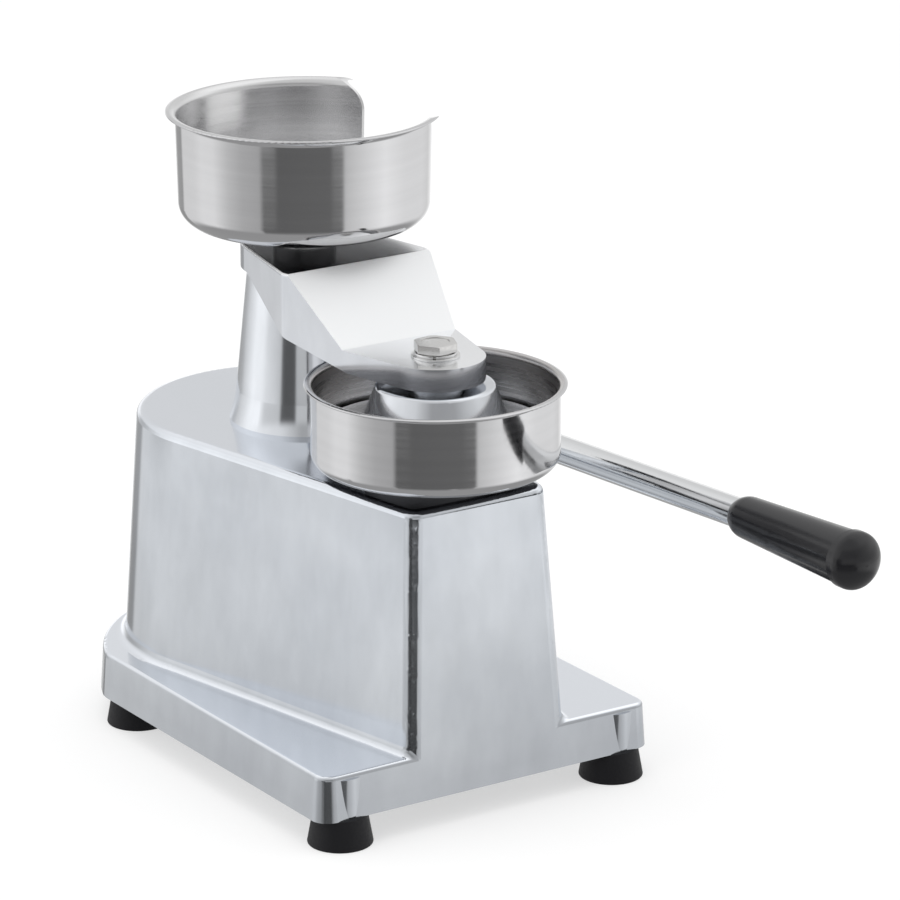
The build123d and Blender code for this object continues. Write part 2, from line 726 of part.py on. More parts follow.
# Lifting beam: a bar from under the plunger to under the ejector stem
with BuildPart() as lifting_beam:
    with BuildSketch(Plane.XY.offset(beam_top_z - beam_thickness)):
        with Locations((0, column_y)):
            Circle(beam_rear_radius)
        with Locations((0, bowl_y)):
            Circle(beam_front_radius)
        make_hull()
        with Locations((0, column_y)):
            Circle(beam_screw_radius + screw_play, mode=Mode.SUBTRACT)
    extrude(amount=beam_thickness)
save(lifting_beam.part, "lifting_beam")

with BuildPart() as beam_screw:
    with BuildSketch(Plane.XY.offset(beam_top_z - beam_thickness)):
        with Locations((0, column_y)):
            RegularPolygon(hexagon_radius(beam_screw_across_flats), 6)
    extrude(amount=-beam_screw_head)
    with BuildSketch(Plane.XY.offset(beam_top_z - beam_thickness)):
        with Locations((0, column_y)):
            Circle(beam_screw_radius)
    extrude(amount=beam_thickness + beam_screw_bite)
save(beam_screw.part, "beam_screw")

# Lifting fork: a hub between two slotted cheeks that straddle the plunger.
# It is drawn with its prongs along the plane's X and turned down to the rest angle.
cheek_inner_x = plunger_flat_half + fork_cheek_gap
cheek_outer_x = cheek_inner_x + fork_cheek_width
fork_plane = Plane(origin=(-cheek_outer_x, shaft_y, shaft_z),
                   x_dir=(0, -cos(radians(fork_angle)), -sin(radians(fork_angle))), z_dir=(1, 0, 0))
fork_pin_plane = Plane(origin=(0, shaft_y, shaft_z), x_dir=(1, 0, 0),
                       z_dir=(0, -sin(radians(fork_angle)), cos(radians(fork_angle))))
with BuildPart() as lifting_fork:
    for cheek_offset in (0, cheek_outer_x + cheek_inner_x):
        with BuildSketch(fork_plane.offset(cheek_offset)):
            Circle(fork_hub_radius)
            Rectangle(fork_reach, 2 * fork_prong_half, align=(Align.MIN, Align.CENTER))
            with Locations((fork_slot_start + fork_slot_half, 0)):
                Circle(fork_slot_half, mode=Mode.SUBTRACT)
                Rectangle(fork_reach, 2 * fork_slot_half, align=(Align.MIN, Align.CENTER),
                          mode=Mode.SUBTRACT)
        extrude(amount=fork_cheek_width)
    with BuildSketch(fork_plane):
        Circle(fork_hub_radius)
    extrude(amount=2 * cheek_outer_x)
    with BuildSketch(fork_plane):
        Circle(shaft_radius + screw_play)
    extrude(amount=2 * cheek_outer_x, mode=Mode.SUBTRACT)
    with BuildSketch(fork_pin_plane.offset(-fork_hub_radius)):
        Circle(fork_pin_radius + screw_play)
    extrude(amount=2 * fork_hub_radius, mode=Mode.SUBTRACT)
save(lifting_fork.part, "lifting_fork")

# Roll pin through the fork hub and the cross shaft, square to the prongs
with BuildPart() as fork_pin:
    with BuildSketch(fork_pin_plane.offset(-fork_hub_radius)):
        Circle(fork_pin_radius)
    extrude(amount=2 * fork_hub_radius)
save(fork_pin.part, "fork_pin")

# Lever frame: its planes are square to the rod, through the middle of the hub.
hub_outer_x = side_boss_outer_x + shaft_bush_flange + shaft_washer_thickness + 2 * hub_half_length
lever_x = hub_outer_x - hub_half_length
lever_direction = (0, -cos(radians(lever_rest_angle)), sin(radians(lever_rest_angle)))
lever_up = (0, sin(radians(lever_rest_angle)), cos(radians(lever_rest_angle)))
lever_plane = Plane(origin=(lever_x, shaft_y, shaft_z), x_dir=(1, 0, 0), z_dir=lever_direction)
hub_pin_plane = Plane(origin=(lever_x, shaft_y, shaft_z), x_dir=(1, 0, 0), z_dir=lever_up)

# Cross shaft, with a clip groove at its left end and holes for the pins and the end screw
with BuildPart() as cross_shaft:
    with BuildSketch(Plane.YZ.offset(lug_left_x - shaft_overhang)):
        with Locations((shaft_y, shaft_z)):
            Circle(shaft_radius)
    extrude(amount=hub_outer_x - lug_left_x + shaft_overhang)
    with BuildSketch(Plane.YZ.offset(lug_left_x - clip_play - clip_thickness)):
        with Locations((shaft_y, shaft_z)):
            Circle(shaft_radius)
            Circle(shaft_radius - clip_groove_depth, mode=Mode.SUBTRACT)
    extrude(amount=clip_thickness, mode=Mode.SUBTRACT)
    with BuildSketch(fork_pin_plane.offset(-fork_hub_radius)):
        Circle(fork_pin_radius + screw_play)
    extrude(amount=2 * fork_hub_radius, mode=Mode.SUBTRACT)
    with BuildSketch(hub_pin_plane.offset(-hub_radius)):
        Circle(hub_pin_radius + screw_play)
    extrude(amount=2 * hub_radius, mode=Mode.SUBTRACT)
    with BuildSketch(Plane.YZ.offset(hub_outer_x)):
        with Locations((shaft_y, shaft_z)):
            Circle(end_screw_radius + screw_play)
    extrude(amount=-end_screw_bite, mode=Mode.SUBTRACT)
save(cross_shaft.part, "cross_shaft")

with BuildPart() as shaft_clip:
    with BuildSketch(Plane.YZ.offset(lug_left_x - clip_play - clip_thickness)):
        with Locations((shaft_y, shaft_z)):
            Circle(shaft_clip_radius)
            Circle(shaft_radius - clip_groove_depth, mode=Mode.SUBTRACT)
    extrude(amount=clip_thickness)
save(shaft_clip.part, "shaft_clip")

with BuildPart() as shaft_thrust_washer:
    with BuildSketch(Plane.YZ.offset(side_boss_outer_x + shaft_bush_flange)):
        with Locations((shaft_y, shaft_z)):
            Circle(shaft_bush_flange_radius)
            Circle(shaft_radius + screw_play, mode=Mode.SUBTRACT)
    extrude(amount=shaft_washer_thickness)
save(shaft_thrust_washer.part, "shaft_thrust_washer")

# Lever hub with a neck that takes the screwed end of the rod
with BuildPart() as lever_hub:
    with BuildSketch(Plane.YZ.offset(lever_x - hub_half_length)):
        with Locations((shaft_y, shaft_z)):
            Circle(hub_radius)
    extrude(amount=2 * hub_half_length)
    chamfer(lever_hub.edges().filter_by(GeomType.CIRCLE), hub_edge)
    with BuildSketch(lever_plane):
        Circle(hub_neck_radius)
    extrude(amount=hub_neck_reach)
    with BuildSketch(Plane.YZ.offset(lever_x - hub_half_length)):
        with Locations((shaft_y, shaft_z)):
            Circle(shaft_radius + screw_play)
    extrude(amount=2 * hub_half_length, mode=Mode.SUBTRACT)
    with BuildSketch(lever_plane):
        Circle(rod_radius + screw_play)
    extrude(amount=hub_neck_reach, mode=Mode.SUBTRACT)
    with BuildSketch(hub_pin_plane.offset(-hub_radius)):
        Circle(hub_pin_radius + screw_play)
    extrude(amount=2 * hub_radius, mode=Mode.SUBTRACT)
save(lever_hub.part, "lever_hub")

with BuildPart() as hub_pin:
    with BuildSketch(hub_pin_plane.offset(-hub_radius)):
        Circle(hub_pin_radius)
    extrude(amount=2 * hub_radius)
save(hub_pin.part, "hub_pin")

with BuildPart() as lever_rod:
    with BuildSketch(lever_plane.offset(rod_start)):
        Circle(rod_radius)
    extrude(amount=rod_end - rod_start)
    chamfer(lever_rod.edges().group_by(Axis.Y)[0], rod_edge)
save(lever_rod.part, "lever_rod")

with BuildPart() as rod_lock_nut:
    with BuildSketch(lever_plane.offset(hub_neck_reach)):
        RegularPolygon(hexagon_radius(nut_across_flats), 6)
        Circle(rod_radius + screw_play, mode=Mode.SUBTRACT)
    extrude(amount=nut_height)
save(rod_lock_nut.part, "rod_lock_nut")

# Grip: a moulding that droops a little below the rod and ends in a domed cap.
# Its profile lies beside the grip axis, as radius and distance from the start.
grip_lean = radians(lever_rest_angle - grip_tilt)
grip_direction = (0, -cos(grip_lean), sin(grip_lean))
grip_up = (0, sin(grip_lean), cos(grip_lean))
grip_origin = (lever_x,
               shaft_y + grip_start * lever_direction[1] - grip_drop * lever_up[1],
               shaft_z + grip_start * lever_direction[2] - grip_drop * lever_up[2])
grip_plane = Plane(origin=grip_origin, x_dir=(1, 0, 0), z_dir=grip_direction)
grip_side_plane = Plane(origin=grip_origin, x_dir=(1, 0, 0), z_dir=-Vector(grip_up))
cap_start = grip_length - grip_cap_length
dome_start = grip_length - grip_dome_length
# The crown of the dome is the circle that meets the rim's round smoothly and stands square at the middle.
rim_setback = grip_cap_radius - grip_rim_radius
crown_radius = (rim_setback ** 2 + grip_dome_length ** 2 - grip_rim_radius ** 2) / (
    2 * (grip_dome_length - grip_rim_radius))
rim_turn = degrees(atan2(crown_radius - grip_dome_length, rim_setback))
with BuildPart() as lever_grip:
    with BuildSketch(grip_side_plane):
        with BuildLine():
            Line((0, 0), (grip_face_radius, 0))
            TangentArc((grip_start_radius, grip_shoulder), (grip_face_radius, 0),
                       tangent=(grip_start_radius - grip_end_radius, grip_shoulder - cap_start))
            Polyline((grip_start_radius, grip_shoulder), (grip_end_radius, cap_start),
                     (grip_cap_radius, cap_start), (grip_cap_radius, dome_start))
            rim_arc = JernArc((grip_cap_radius, dome_start), (0, 1), grip_rim_radius, rim_turn)
            TangentArc(rim_arc @ 1, (0, grip_length), tangent=rim_arc % 1)
            Line((0, grip_length), (0, 0))
        make_face()
    revolve(axis=Axis(grip_origin, grip_direction))
    with BuildSketch(lever_plane.offset(grip_start - grip_shoulder)):
        Circle(rod_radius + grip_bore_play)
    extrude(amount=rod_end + grip_bore_spare - grip_start + grip_shoulder, mode=Mode.SUBTRACT)
    # Flutes in the lower half: round cuts that start at nothing and deepen up to a land by the cap
    flute_taper = (grip_end_radius - grip_start_radius) / (cap_start - grip_shoulder)
    near_radius = grip_start_radius + flute_taper * (flute_start - grip_shoulder) + flute_radius
    far_radius = grip_end_radius + flute_radius - flute_depth
    for flute in range(flute_count):
        flute_angle = radians((flute - flute_count + 1) * flute_spacing)
        near_point = grip_plane.from_local_coords(
            Vector(near_radius * cos(flute_angle), near_radius * sin(flute_angle), flute_start))
        far_point = grip_plane.from_local_coords(
            Vector(far_radius * cos(flute_angle), far_radius * sin(flute_angle), cap_start - flute_land))
        with BuildSketch(Plane(origin=near_point, z_dir=far_point - near_point)):
            Circle(flute_radius)
        extrude(amount=(far_point - near_point).length, mode=Mode.SUBTRACT)
save(lever_grip.part, "lever_grip")

with BuildPart() as shaft_end_washer:
    with BuildSketch(Plane.YZ.offset(hub_outer_x)):
        with Locations((shaft_y, shaft_z)):
            Circle(end_washer_radius)
            Circle(end_screw_radius + screw_play, mode=Mode.SUBTRACT)
    extrude(amount=end_washer_thickness)
save(shaft_end_washer.part, "shaft_end_washer")

with BuildPart() as shaft_end_screw:
    with BuildSketch(Plane.YZ.offset(hub_outer_x + end_washer_thickness)):
        with Locations((shaft_y, shaft_z)):
            RegularPolygon(hexagon_radius(end_screw_across_flats), 6)
    extrude(amount=end_screw_head)
    with BuildSketch(Plane.YZ.offset(hub_outer_x + end_washer_thickness)):
        with Locations((shaft_y, shaft_z)):
            Circle(end_screw_radius)
    extrude(amount=-(end_washer_thickness + end_screw_bite))
save(shaft_end_screw.part, "shaft_end_screw")

# Swing arm: the kite plan meets the side profile, then the pockets and bores are cut.
arm_cut_back_y = column_y + arm_back_radius + arm_cut_over
arm_cut_front_y = bowl_y - arm_nose_radius - arm_cut_over
with BuildPart() as swing_arm:
    with BuildSketch(Plane.XY.offset(arm_nose_bottom_z)):
        with Locations((0, column_y)):
            Circle(arm_back_radius)
        with Locations((0, bowl_y)):
            Circle(arm_nose_radius)
        with Locations((-arm_corner_x, arm_corner_y), (arm_corner_x, arm_corner_y)):
            Circle(arm_corner_radius)
        make_hull()
    extrude(amount=arm_top_z - arm_nose_bottom_z)
    with BuildSketch(Plane.YZ):
        with BuildLine():
            Polyline((arm_cut_back_y, arm_top_z), (arm_slope_top_y, arm_top_z),
                     (arm_slope_foot_y, arm_nose_top_z), (arm_cut_front_y, arm_nose_top_z),
                     (arm_cut_front_y, arm_nose_bottom_z), (arm_belly_y, arm_nose_bottom_z),
                     (arm_heel_y, arm_heel_z), (arm_skirt_end_y, socket_top_z),
                     (arm_cut_back_y, socket_top_z), close=True)
        make_face()
    extrude(amount=plate_half_width, both=True, mode=Mode.INTERSECT)
    fillet(swing_arm.faces().filter_by(Axis.Z).sort_by(Axis.Z)[-1].edges(), arm_edge_radius)
    with BuildSketch(Plane.XY.offset(arm_nose_bottom_z)):
        with Locations((0, column_y)):
            Circle(arm_recess_radius)
    extrude(amount=socket_top_z - arm_nose_bottom_z, mode=Mode.SUBTRACT)
    with BuildSketch(Plane.XY.offset(arm_nose_bottom_z)):
        with Locations((0, column_y)):
            Circle(plunger_spigot_radius + running_play)
        with Locations((0, bowl_y)):
            Circle(head_bolt_radius + screw_play)
    extrude(amount=arm_top_z - arm_nose_bottom_z, mode=Mode.SUBTRACT)
save(swing_arm.part, "swing_arm")

# Washers above and below the arm on the plunger spigot
for washer_name, washer_z, washer_radius in (
        ("arm_thrust_washer", plunger_shoulder_z, plunger_radius),
        ("arm_top_washer", arm_top_z, arm_washer_radius)):
    with BuildPart() as arm_washer:
        with BuildSketch(Plane.XY.offset(washer_z)):
            with Locations((0, column_y)):
                Circle(washer_radius)
                Circle(plunger_spigot_radius + running_play, mode=Mode.SUBTRACT)
        extrude(amount=thrust_washer)
    save(arm_washer.part, washer_name)

# Dish spacer: clamps on the end of the spigot and carries the dish
with BuildPart() as dish_spacer:
    with BuildSketch(Plane.XY.offset(spigot_top_z)):
        with Locations((0, column_y)):
            Circle(dish_spacer_radius)
            Circle(dish_screw_radius + screw_play, mode=Mode.SUBTRACT)
    extrude(amount=dish_spacer_height)
save(dish_spacer.part, "dish_spacer")

# Paper dish: spun sheet with a lip, open on the right for the fingers.
# The cutter stands just above the rim, so that its lead-ins run out along the lip.
dish_cut_top_z = dish_rim_z + dish_cut_over
with BuildPart() as paper_dish:
    with BuildSketch(Plane.XZ.offset(-column_y)):
        with BuildLine():
            dish_bend = FilletPolyline((0, dish_floor_z + sheet / 2),
                                       (dish_floor_wall_radius - sheet / 2, dish_floor_z + sheet / 2),
                                       (dish_wall_radius - sheet / 2, dish_rim_z - dish_lip_height),
                                       radius=dish_corner_radius)
            TangentArc(dish_bend @ 1, (dish_rim_radius - sheet / 2, dish_rim_z - sheet / 2),
                       tangent=dish_bend % 1)
            offset(amount=sheet / 2)
        make_face()
        with Locations((-dish_wall_radius, 0)):
            Rectangle(2 * dish_wall_radius, 2 * dish_rim_z + 2 * sheet, mode=Mode.SUBTRACT)
    revolve(axis=Axis((0, column_y, 0), (0, 0, 1)))
    dish_cut_plane = Plane(origin=(0, column_y, 0), z_dir=(cos(radians(dish_cut_turn)),
                                                          sin(radians(dish_cut_turn)), 0),
                           x_dir=(-sin(radians(dish_cut_turn)), cos(radians(dish_cut_turn)), 0))
    with BuildSketch(dish_cut_plane) as dish_cut:
        with BuildLine():
            Polyline((-dish_cut_half_width, dish_cut_bottom_z), (dish_cut_half_width, dish_cut_bottom_z),
                     (dish_cut_half_width, dish_cut_top_z), (dish_rim_radius, dish_cut_top_z),
                     (dish_rim_radius, dish_cut_top_z + sheet), (-dish_rim_radius, dish_cut_top_z + sheet),
                     (-dish_rim_radius, dish_cut_top_z), (-dish_cut_half_width, dish_cut_top_z),
                     close=True)
        make_face()
        fillet(dish_cut.vertices().group_by(Axis.Y)[0], dish_cut_corner)
        fillet(dish_cut.vertices().group_by(Axis.Y)[-2].sort_by(Axis.X)[1:-1], dish_cut_lead_in)
    extrude(amount=dish_rim_radius * 2, mode=Mode.SUBTRACT)
    with Locations(Plane.XY.offset(dish_floor_z + sheet)):
        with Locations((0, column_y)):
            Hole(dish_screw_radius + screw_play, depth=2 * sheet)
save(paper_dish.part, "paper_dish")

with BuildPart() as dish_washer:
    with BuildSketch(Plane.XY.offset(dish_floor_z + sheet)):
        with Locations((0, column_y)):
            Circle(dish_washer_radius)
            Circle(dish_screw_radius + screw_play, mode=Mode.SUBTRACT)
    extrude(amount=dish_washer_thickness)
save(dish_washer.part, "dish_washer")

dish_screw_seat_z = dish_floor_z + sheet + dish_washer_thickness
with BuildPart() as dish_screw:
    with BuildSketch(Plane.XY.offset(dish_screw_seat_z)):
        with Locations((0, column_y)):
            RegularPolygon(hexagon_radius(dish_screw_across_flats), 6)
    extrude(amount=dish_screw_head)
    with BuildSketch(Plane.XY.offset(dish_screw_seat_z)):
        with Locations((0, column_y)):
            Circle(dish_screw_radius)
    extrude(amount=-(dish_screw_seat_z - spigot_top_z + dish_screw_bite))
save(dish_screw.part, "dish_screw")

# Press head: a turned casting, conical above and flat below
with BuildPart() as press_head:
    with BuildSketch(Plane.XZ.offset(-bowl_y)):
        with BuildLine():
            Polyline((0, head_bottom_z), (head_flange_radius, head_bottom_z),
                     (head_flange_radius, head_flange_top_z), (head_cone_radius, head_flange_top_z),
                     (head_mid_radius, head_mid_z), (head_top_radius, head_top_z),
                     (0, head_top_z), close=True)
        make_face()
    revolve(axis=Axis((0, bowl_y, 0), (0, 0, 1)))
    head_rings = press_head.edges().filter_by(GeomType.CIRCLE)
    fillet(head_rings.group_by(Axis.Z)[-1], head_top_edge)
    fillet(head_rings.group_by(SortBy.RADIUS)[-1], head_flange_edge)
    with BuildSketch(Plane.XY.offset(head_top_z)):
        with Locations((0, bowl_y)):
            Circle(head_bolt_radius + screw_play)
    extrude(amount=-head_bolt_bite, mode=Mode.SUBTRACT)
save(press_head.part, "press_head")

# The bolt stack: spacer under the nose, plain and lock washers on it, hexagon bolt
head_stack = (("head_spacer", head_top_z, head_spacer_thickness, head_spacer_radius),
              ("head_washer", arm_nose_top_z, head_washer_thickness, head_washer_radius),
              ("head_lock_washer", arm_nose_top_z + head_washer_thickness, lock_washer_thickness,
               lock_washer_radius))
for ring_name, ring_z, ring_height, ring_radius in head_stack:
    with BuildPart() as ring:
        with BuildSketch(Plane.XY.offset(ring_z)):
            with Locations((0, bowl_y)):
                Circle(ring_radius)
                Circle(head_bolt_radius + screw_play, mode=Mode.SUBTRACT)
        extrude(amount=ring_height)
    save(ring.part, ring_name)

with BuildPart() as head_bolt:
    with BuildSketch(Plane.XY.offset(bolt_seat_z)):
        with Locations((0, bowl_y)):
            RegularPolygon(hexagon_radius(head_bolt_across_flats), 6, rotation=head_bolt_turn)
    extrude(amount=head_bolt_head)
    with BuildSketch(Plane.XY.offset(bolt_seat_z)):
        with Locations((0, bowl_y)):
            Circle(head_bolt_radius)
    extrude(amount=-(bolt_seat_z - head_top_z + head_bolt_bite - head_bolt_spare))
save(head_bolt.part, "head_bolt")

print("lever swing", round(lever_swing, 3), "degrees, lift", round(lift, 3), "mm")
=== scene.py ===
# %% [markdown]
# A burger press in polished metal
#
# The solids of the press come in as a finished frame: a cast body, a column, an arm with its
# press head, two spun bowls and a hand lever. This lesson dresses them. It sets up the camera and
# the studio, gives each piece the finish of the real one, and models the small hardware whose
# edges catch the light. All lengths are in metres, and Z points up from the table.

# %% Load the frame
import json
from math import cos, degrees, pi, radians, sin, tan

import bpy
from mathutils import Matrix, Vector


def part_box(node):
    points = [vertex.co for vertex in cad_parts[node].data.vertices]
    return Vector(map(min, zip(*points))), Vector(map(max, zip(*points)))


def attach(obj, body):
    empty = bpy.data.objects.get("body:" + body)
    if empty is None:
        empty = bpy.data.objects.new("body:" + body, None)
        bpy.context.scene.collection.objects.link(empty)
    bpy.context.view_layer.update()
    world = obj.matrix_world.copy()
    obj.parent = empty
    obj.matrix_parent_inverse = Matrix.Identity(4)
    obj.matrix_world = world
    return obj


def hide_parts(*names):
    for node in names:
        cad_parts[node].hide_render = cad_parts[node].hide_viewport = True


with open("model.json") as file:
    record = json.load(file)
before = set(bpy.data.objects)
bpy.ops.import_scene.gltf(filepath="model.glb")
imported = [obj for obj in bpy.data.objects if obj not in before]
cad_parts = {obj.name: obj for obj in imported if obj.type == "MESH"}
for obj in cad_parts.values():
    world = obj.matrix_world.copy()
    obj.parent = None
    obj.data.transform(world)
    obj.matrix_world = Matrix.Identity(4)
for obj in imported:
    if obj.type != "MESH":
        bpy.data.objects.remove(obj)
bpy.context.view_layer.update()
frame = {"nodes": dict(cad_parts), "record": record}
nodes = frame["nodes"]
print("pieces in the frame:", len(nodes))

# %% [markdown]
# The photograph is taken from the front left and a little above, with a long lens, so that the
# uprights stay almost parallel. A camera could be given by its place and three turns. Here it is
# given by the point it looks at, its distance and two angles, because each of these can be
# changed alone while the rest of the view stays. The Standard view shows colours as written.

# %% Place the camera
aim_point = Vector((0.01224, -0.05975, 0.18506))
camera_distance = 2.606
camera_azimuth = radians(33.48)
camera_elevation = radians(17.94)
lens_length = 197.16
film_width = 36.0

camera_data = bpy.data.cameras.new("studio_camera")
camera_data.lens = lens_length
camera_data.sensor_width = film_width
camera = bpy.data.objects.new("studio_camera", camera_data)
scene = bpy.context.scene
scene.collection.objects.link(camera)
toward_camera = Vector((-sin(camera_azimuth) * cos(camera_elevation),
                        -cos(camera_azimuth) * cos(camera_elevation),
                        sin(camera_elevation)))
camera.location = aim_point + camera_distance * toward_camera
camera.rotation_euler = (-toward_camera).to_track_quat("-Z", "Y").to_euler()
bpy.context.scene.camera = camera
scene.view_settings.view_transform = "Standard"
print("camera stands at", tuple(round(value, 3) for value in camera.location))

# %% [markdown]
# Bright metal shows its surroundings, so the studio is half of the finish. The studio and all the
# finishes are made of nodes. They could be joined one by one in the node editor, but in a script
# the same few steps come back all the time: a value is stretched to another range, two colours
# are mixed, or two numbers are multiplied. Each of these steps gets a short helper.

# %% Add and join nodes


def add_node(tree, kind, **settings):
    """Adds a node and sets its properties, and its inputs by name where they have one."""
    node = tree.nodes.new(kind)
    for name, value in settings.items():
        if name in node.bl_rna.properties:
            setattr(node, name, value)
        else:
            node.inputs[name.replace("_", " ")].default_value = value
    return node


def feed(tree, source, socket):
    """Links another node to a socket, or writes a plain number or colour into it."""
    if isinstance(source, bpy.types.NodeSocket):
        tree.links.new(source, socket)
    else:
        socket.default_value = source


def remap(tree, source, start, end, low=0.0, high=1.0, kind="LINEAR"):
    """Stretches one range of a value to another, and stops at its ends."""
    node = add_node(tree, "ShaderNodeMapRange", interpolation_type=kind,
                    From_Min=start, From_Max=end, To_Min=low, To_Max=high)
    tree.links.new(source, node.inputs["Value"])
    return node.outputs[0]


def mix(tree, share, first, second, kind="RGBA"):
    """Goes from the first colour or number to the second as the share goes from zero to one."""
    node = add_node(tree, "ShaderNodeMix", data_type=kind)
    tree.links.new(share, node.inputs["Factor"])
    feed(tree, first, node.inputs["A"])
    feed(tree, second, node.inputs["B"])
    return node.outputs["Result"]


def calculate(tree, operation, first, second):
    """Works out one number from two."""
    node = add_node(tree, "ShaderNodeMath", operation=operation)
    feed(tree, first, node.inputs[0])
    feed(tree, second, node.inputs[1])
    return node.outputs[0]


def scaled(tree, color, gain):
    """A colour made lighter or darker by a gain."""
    node = add_node(tree, "ShaderNodeVectorMath", operation="SCALE")
    tree.links.new(color, node.inputs[0])
    tree.links.new(gain, node.inputs["Scale"])
    return node.outputs[0]


print("helpers for nodes ready")

# %% [markdown]
# The room behind the camera is dark, and white panels stand to the left and to the right. The
# round bowls mirror all of that, squeezed into upright stripes. Panels could be planes round the
# press, but here they are painted on the world, which keeps the table plain. The room is a pile
# of rings. A compass direction on a ring is written in degrees: 0 is behind the press, 90 is
# at its right, 180 is in front and -90 is at its left. The camera stands at -147. Each ring lists
# directions and brightnesses, and the rings differ because a leaning wall mirrors another height
# of the room than an upright one does.

# %% List the rings of the room
table_ring = [(-180, 0.17), (-111, 0.15), (-107, 0.50), (-90, 0.55), (-75, 0.70), (-58, 1.00),
              (-42, 1.00), (-30, 0.90), (-7, 0.84), (-3, 0.36), (13, 0.36), (22, 0.90), (40, 1.10),
              (61, 0.80), (77, 0.93), (108, 0.98), (133, 1.15), (149, 0.97), (165, 0.80),
              (174, 0.72), (177, 0.18), (180, 0.17)]
dish_ring = [(-180, 0.50), (-175, 0.45), (-172, 0.17), (-125, 0.15), (-121, 0.48), (-90, 0.58),
             (-75, 0.72), (-58, 0.98), (-42, 1.00), (-30, 0.90), (-7, 0.84), (-3, 0.40),
             (13, 0.40), (22, 0.90), (40, 1.10), (61, 0.80), (77, 0.93), (108, 0.98),
             (133, 1.10), (149, 0.97), (165, 0.80), (174, 0.62), (180, 0.50)]
foot_ring = [(-180, 0.45), (-179, 0.38), (-175, 0.05), (-111, 0.05), (-105, 0.38), (-95, 0.48),
             (-70, 0.50), (-50, 0.52), (-35, 0.40), (-10, 0.42), (30, 0.55), (90, 0.60),
             (125, 0.60), (146, 0.55), (158, 0.50), (180, 0.45)]
wall_ring = [(-180, 0.75), (-179, 0.60), (-175, 0.05), (-111, 0.05), (-105, 0.60), (-95, 0.85),
             (-70, 1.00), (-50, 1.10), (-35, 0.90), (-10, 0.60), (30, 0.60), (90, 0.80),
             (125, 0.95), (146, 1.10), (160, 0.95), (180, 0.75)]
window_ring = [(-180, 0.56), (-133, 0.60), (-130, 0.11), (-108, 0.11), (-105, 0.62), (-78, 0.70),
               (-68, 1.15), (-50, 1.15), (-28, 0.80), (-10, 0.58), (-3, 0.60), (8, 1.10),
               (30, 1.10), (50, 0.85), (90, 0.80), (120, 0.75), (180, 0.56)]
upper_ring = [(-180, 0.42), (-140, 0.42), (-110, 0.80), (-48, 1.10), (0, 0.80), (33, 0.74),
              (60, 0.80), (107, 1.10), (140, 0.75), (180, 0.42)]
ceiling_ring = [(-180, 0.72), (-110, 0.75), (-48, 0.95), (33, 1.00), (75, 1.15), (107, 1.20),
                (135, 1.10), (160, 0.80), (180, 0.72)]
print("stops of the fullest ring:", len(dish_ring))

# %% [markdown]
# A direction has a height too, from -1 straight down over 0 at the horizon to 1 straight up. Each
# ring is listed here with the two heights between which it takes over from the part below it.
# Below all of them lies an even grey. The two lists could be one, but the rings are easier to
# read when the heights stand apart from them.

# %% Pile the rings up
under_color = (0.40, 0.40, 0.40, 1.0)
room_rings = [(table_ring, -0.60, -0.40), (dish_ring, -0.292, -0.282), (foot_ring, -0.246, -0.236),
              (wall_ring, -0.228, -0.205), (window_ring, -0.140, -0.115), (upper_ring, 0.10, 0.25),
              (ceiling_ring, 0.50, 0.70)]


def set_ramp(ramp, stops):
    """Fills a colour ramp with grey stops, each a place and a brightness."""
    elements = ramp.color_ramp.elements
    while len(elements) > 1:
        elements.remove(elements[-1])
    elements[0].position = stops[0][0]
    elements[0].color = (stops[0][1], stops[0][1], stops[0][1], 1.0)
    for place, grey in stops[1:]:
        element = elements.new(place)
        element.color = (grey, grey, grey, 1.0)


def ring(tree, turn, listed):
    """Colour ramp that runs once round the compass."""
    ramp = add_node(tree, "ShaderNodeValToRGB")
    set_ramp(ramp, [((degree + 180) / 360, grey) for degree, grey in listed])
    tree.links.new(turn, ramp.inputs[0])
    return ramp.outputs["Color"]


def painted_room(tree):
    """Brightness of the room in every direction."""
    direction = add_node(tree, "ShaderNodeTexCoord")
    parts = add_node(tree, "ShaderNodeSeparateXYZ")
    tree.links.new(direction.outputs["Generated"], parts.inputs[0])
    compass = calculate(tree, "ARCTAN2", parts.outputs["X"], parts.outputs["Y"])
    turn = remap(tree, compass, -pi, pi)
    room = under_color
    for listed, start, end in room_rings:
        rise = remap(tree, parts.outputs["Z"], start, end, kind="SMOOTHSTEP")
        room = mix(tree, rise, room, ring(tree, turn, listed))
    return room


print("rings from the table to the ceiling:", len(room_rings))

# %% [markdown]
# The camera should see plain white behind the press, and the metal should see the room. A Light
# Path node tells the two kinds of ray apart. White cards behind the press would do it too, but
# they would show in the metal. The metal finds the room with its own mirrored rays, so the world
# isn't also sampled as a lamp.

# %% Make the world
white = (1.0, 1.0, 1.0, 1.0)


def background(tree, color):
    """Light of one colour, or of the painted room, from all round."""
    light = add_node(tree, "ShaderNodeBackground", Strength=1.0)
    feed(tree, color, light.inputs["Color"])
    return light.outputs[0]


def studio_world(tree):
    """Plain white for the camera, and the painted room for light and reflections."""
    tree.nodes.clear()
    rays = add_node(tree, "ShaderNodeLightPath")
    seen = calculate(tree, "MAXIMUM", rays.outputs["Is Camera Ray"],
                     rays.outputs["Is Transmission Ray"])
    final = add_node(tree, "ShaderNodeMixShader")
    tree.links.new(seen, final.inputs[0])
    tree.links.new(background(tree, painted_room(tree)), final.inputs[1])
    tree.links.new(background(tree, white), final.inputs[2])
    output = add_node(tree, "ShaderNodeOutputWorld")
    tree.links.new(final.outputs[0], output.inputs["Surface"])


world = bpy.data.worlds.new("white_studio")
scene.world = world
world.use_nodes = True
studio_world(world.node_tree)
world.cycles.sampling_method = "NONE"
print("nodes in the world:", len(world.node_tree.nodes))

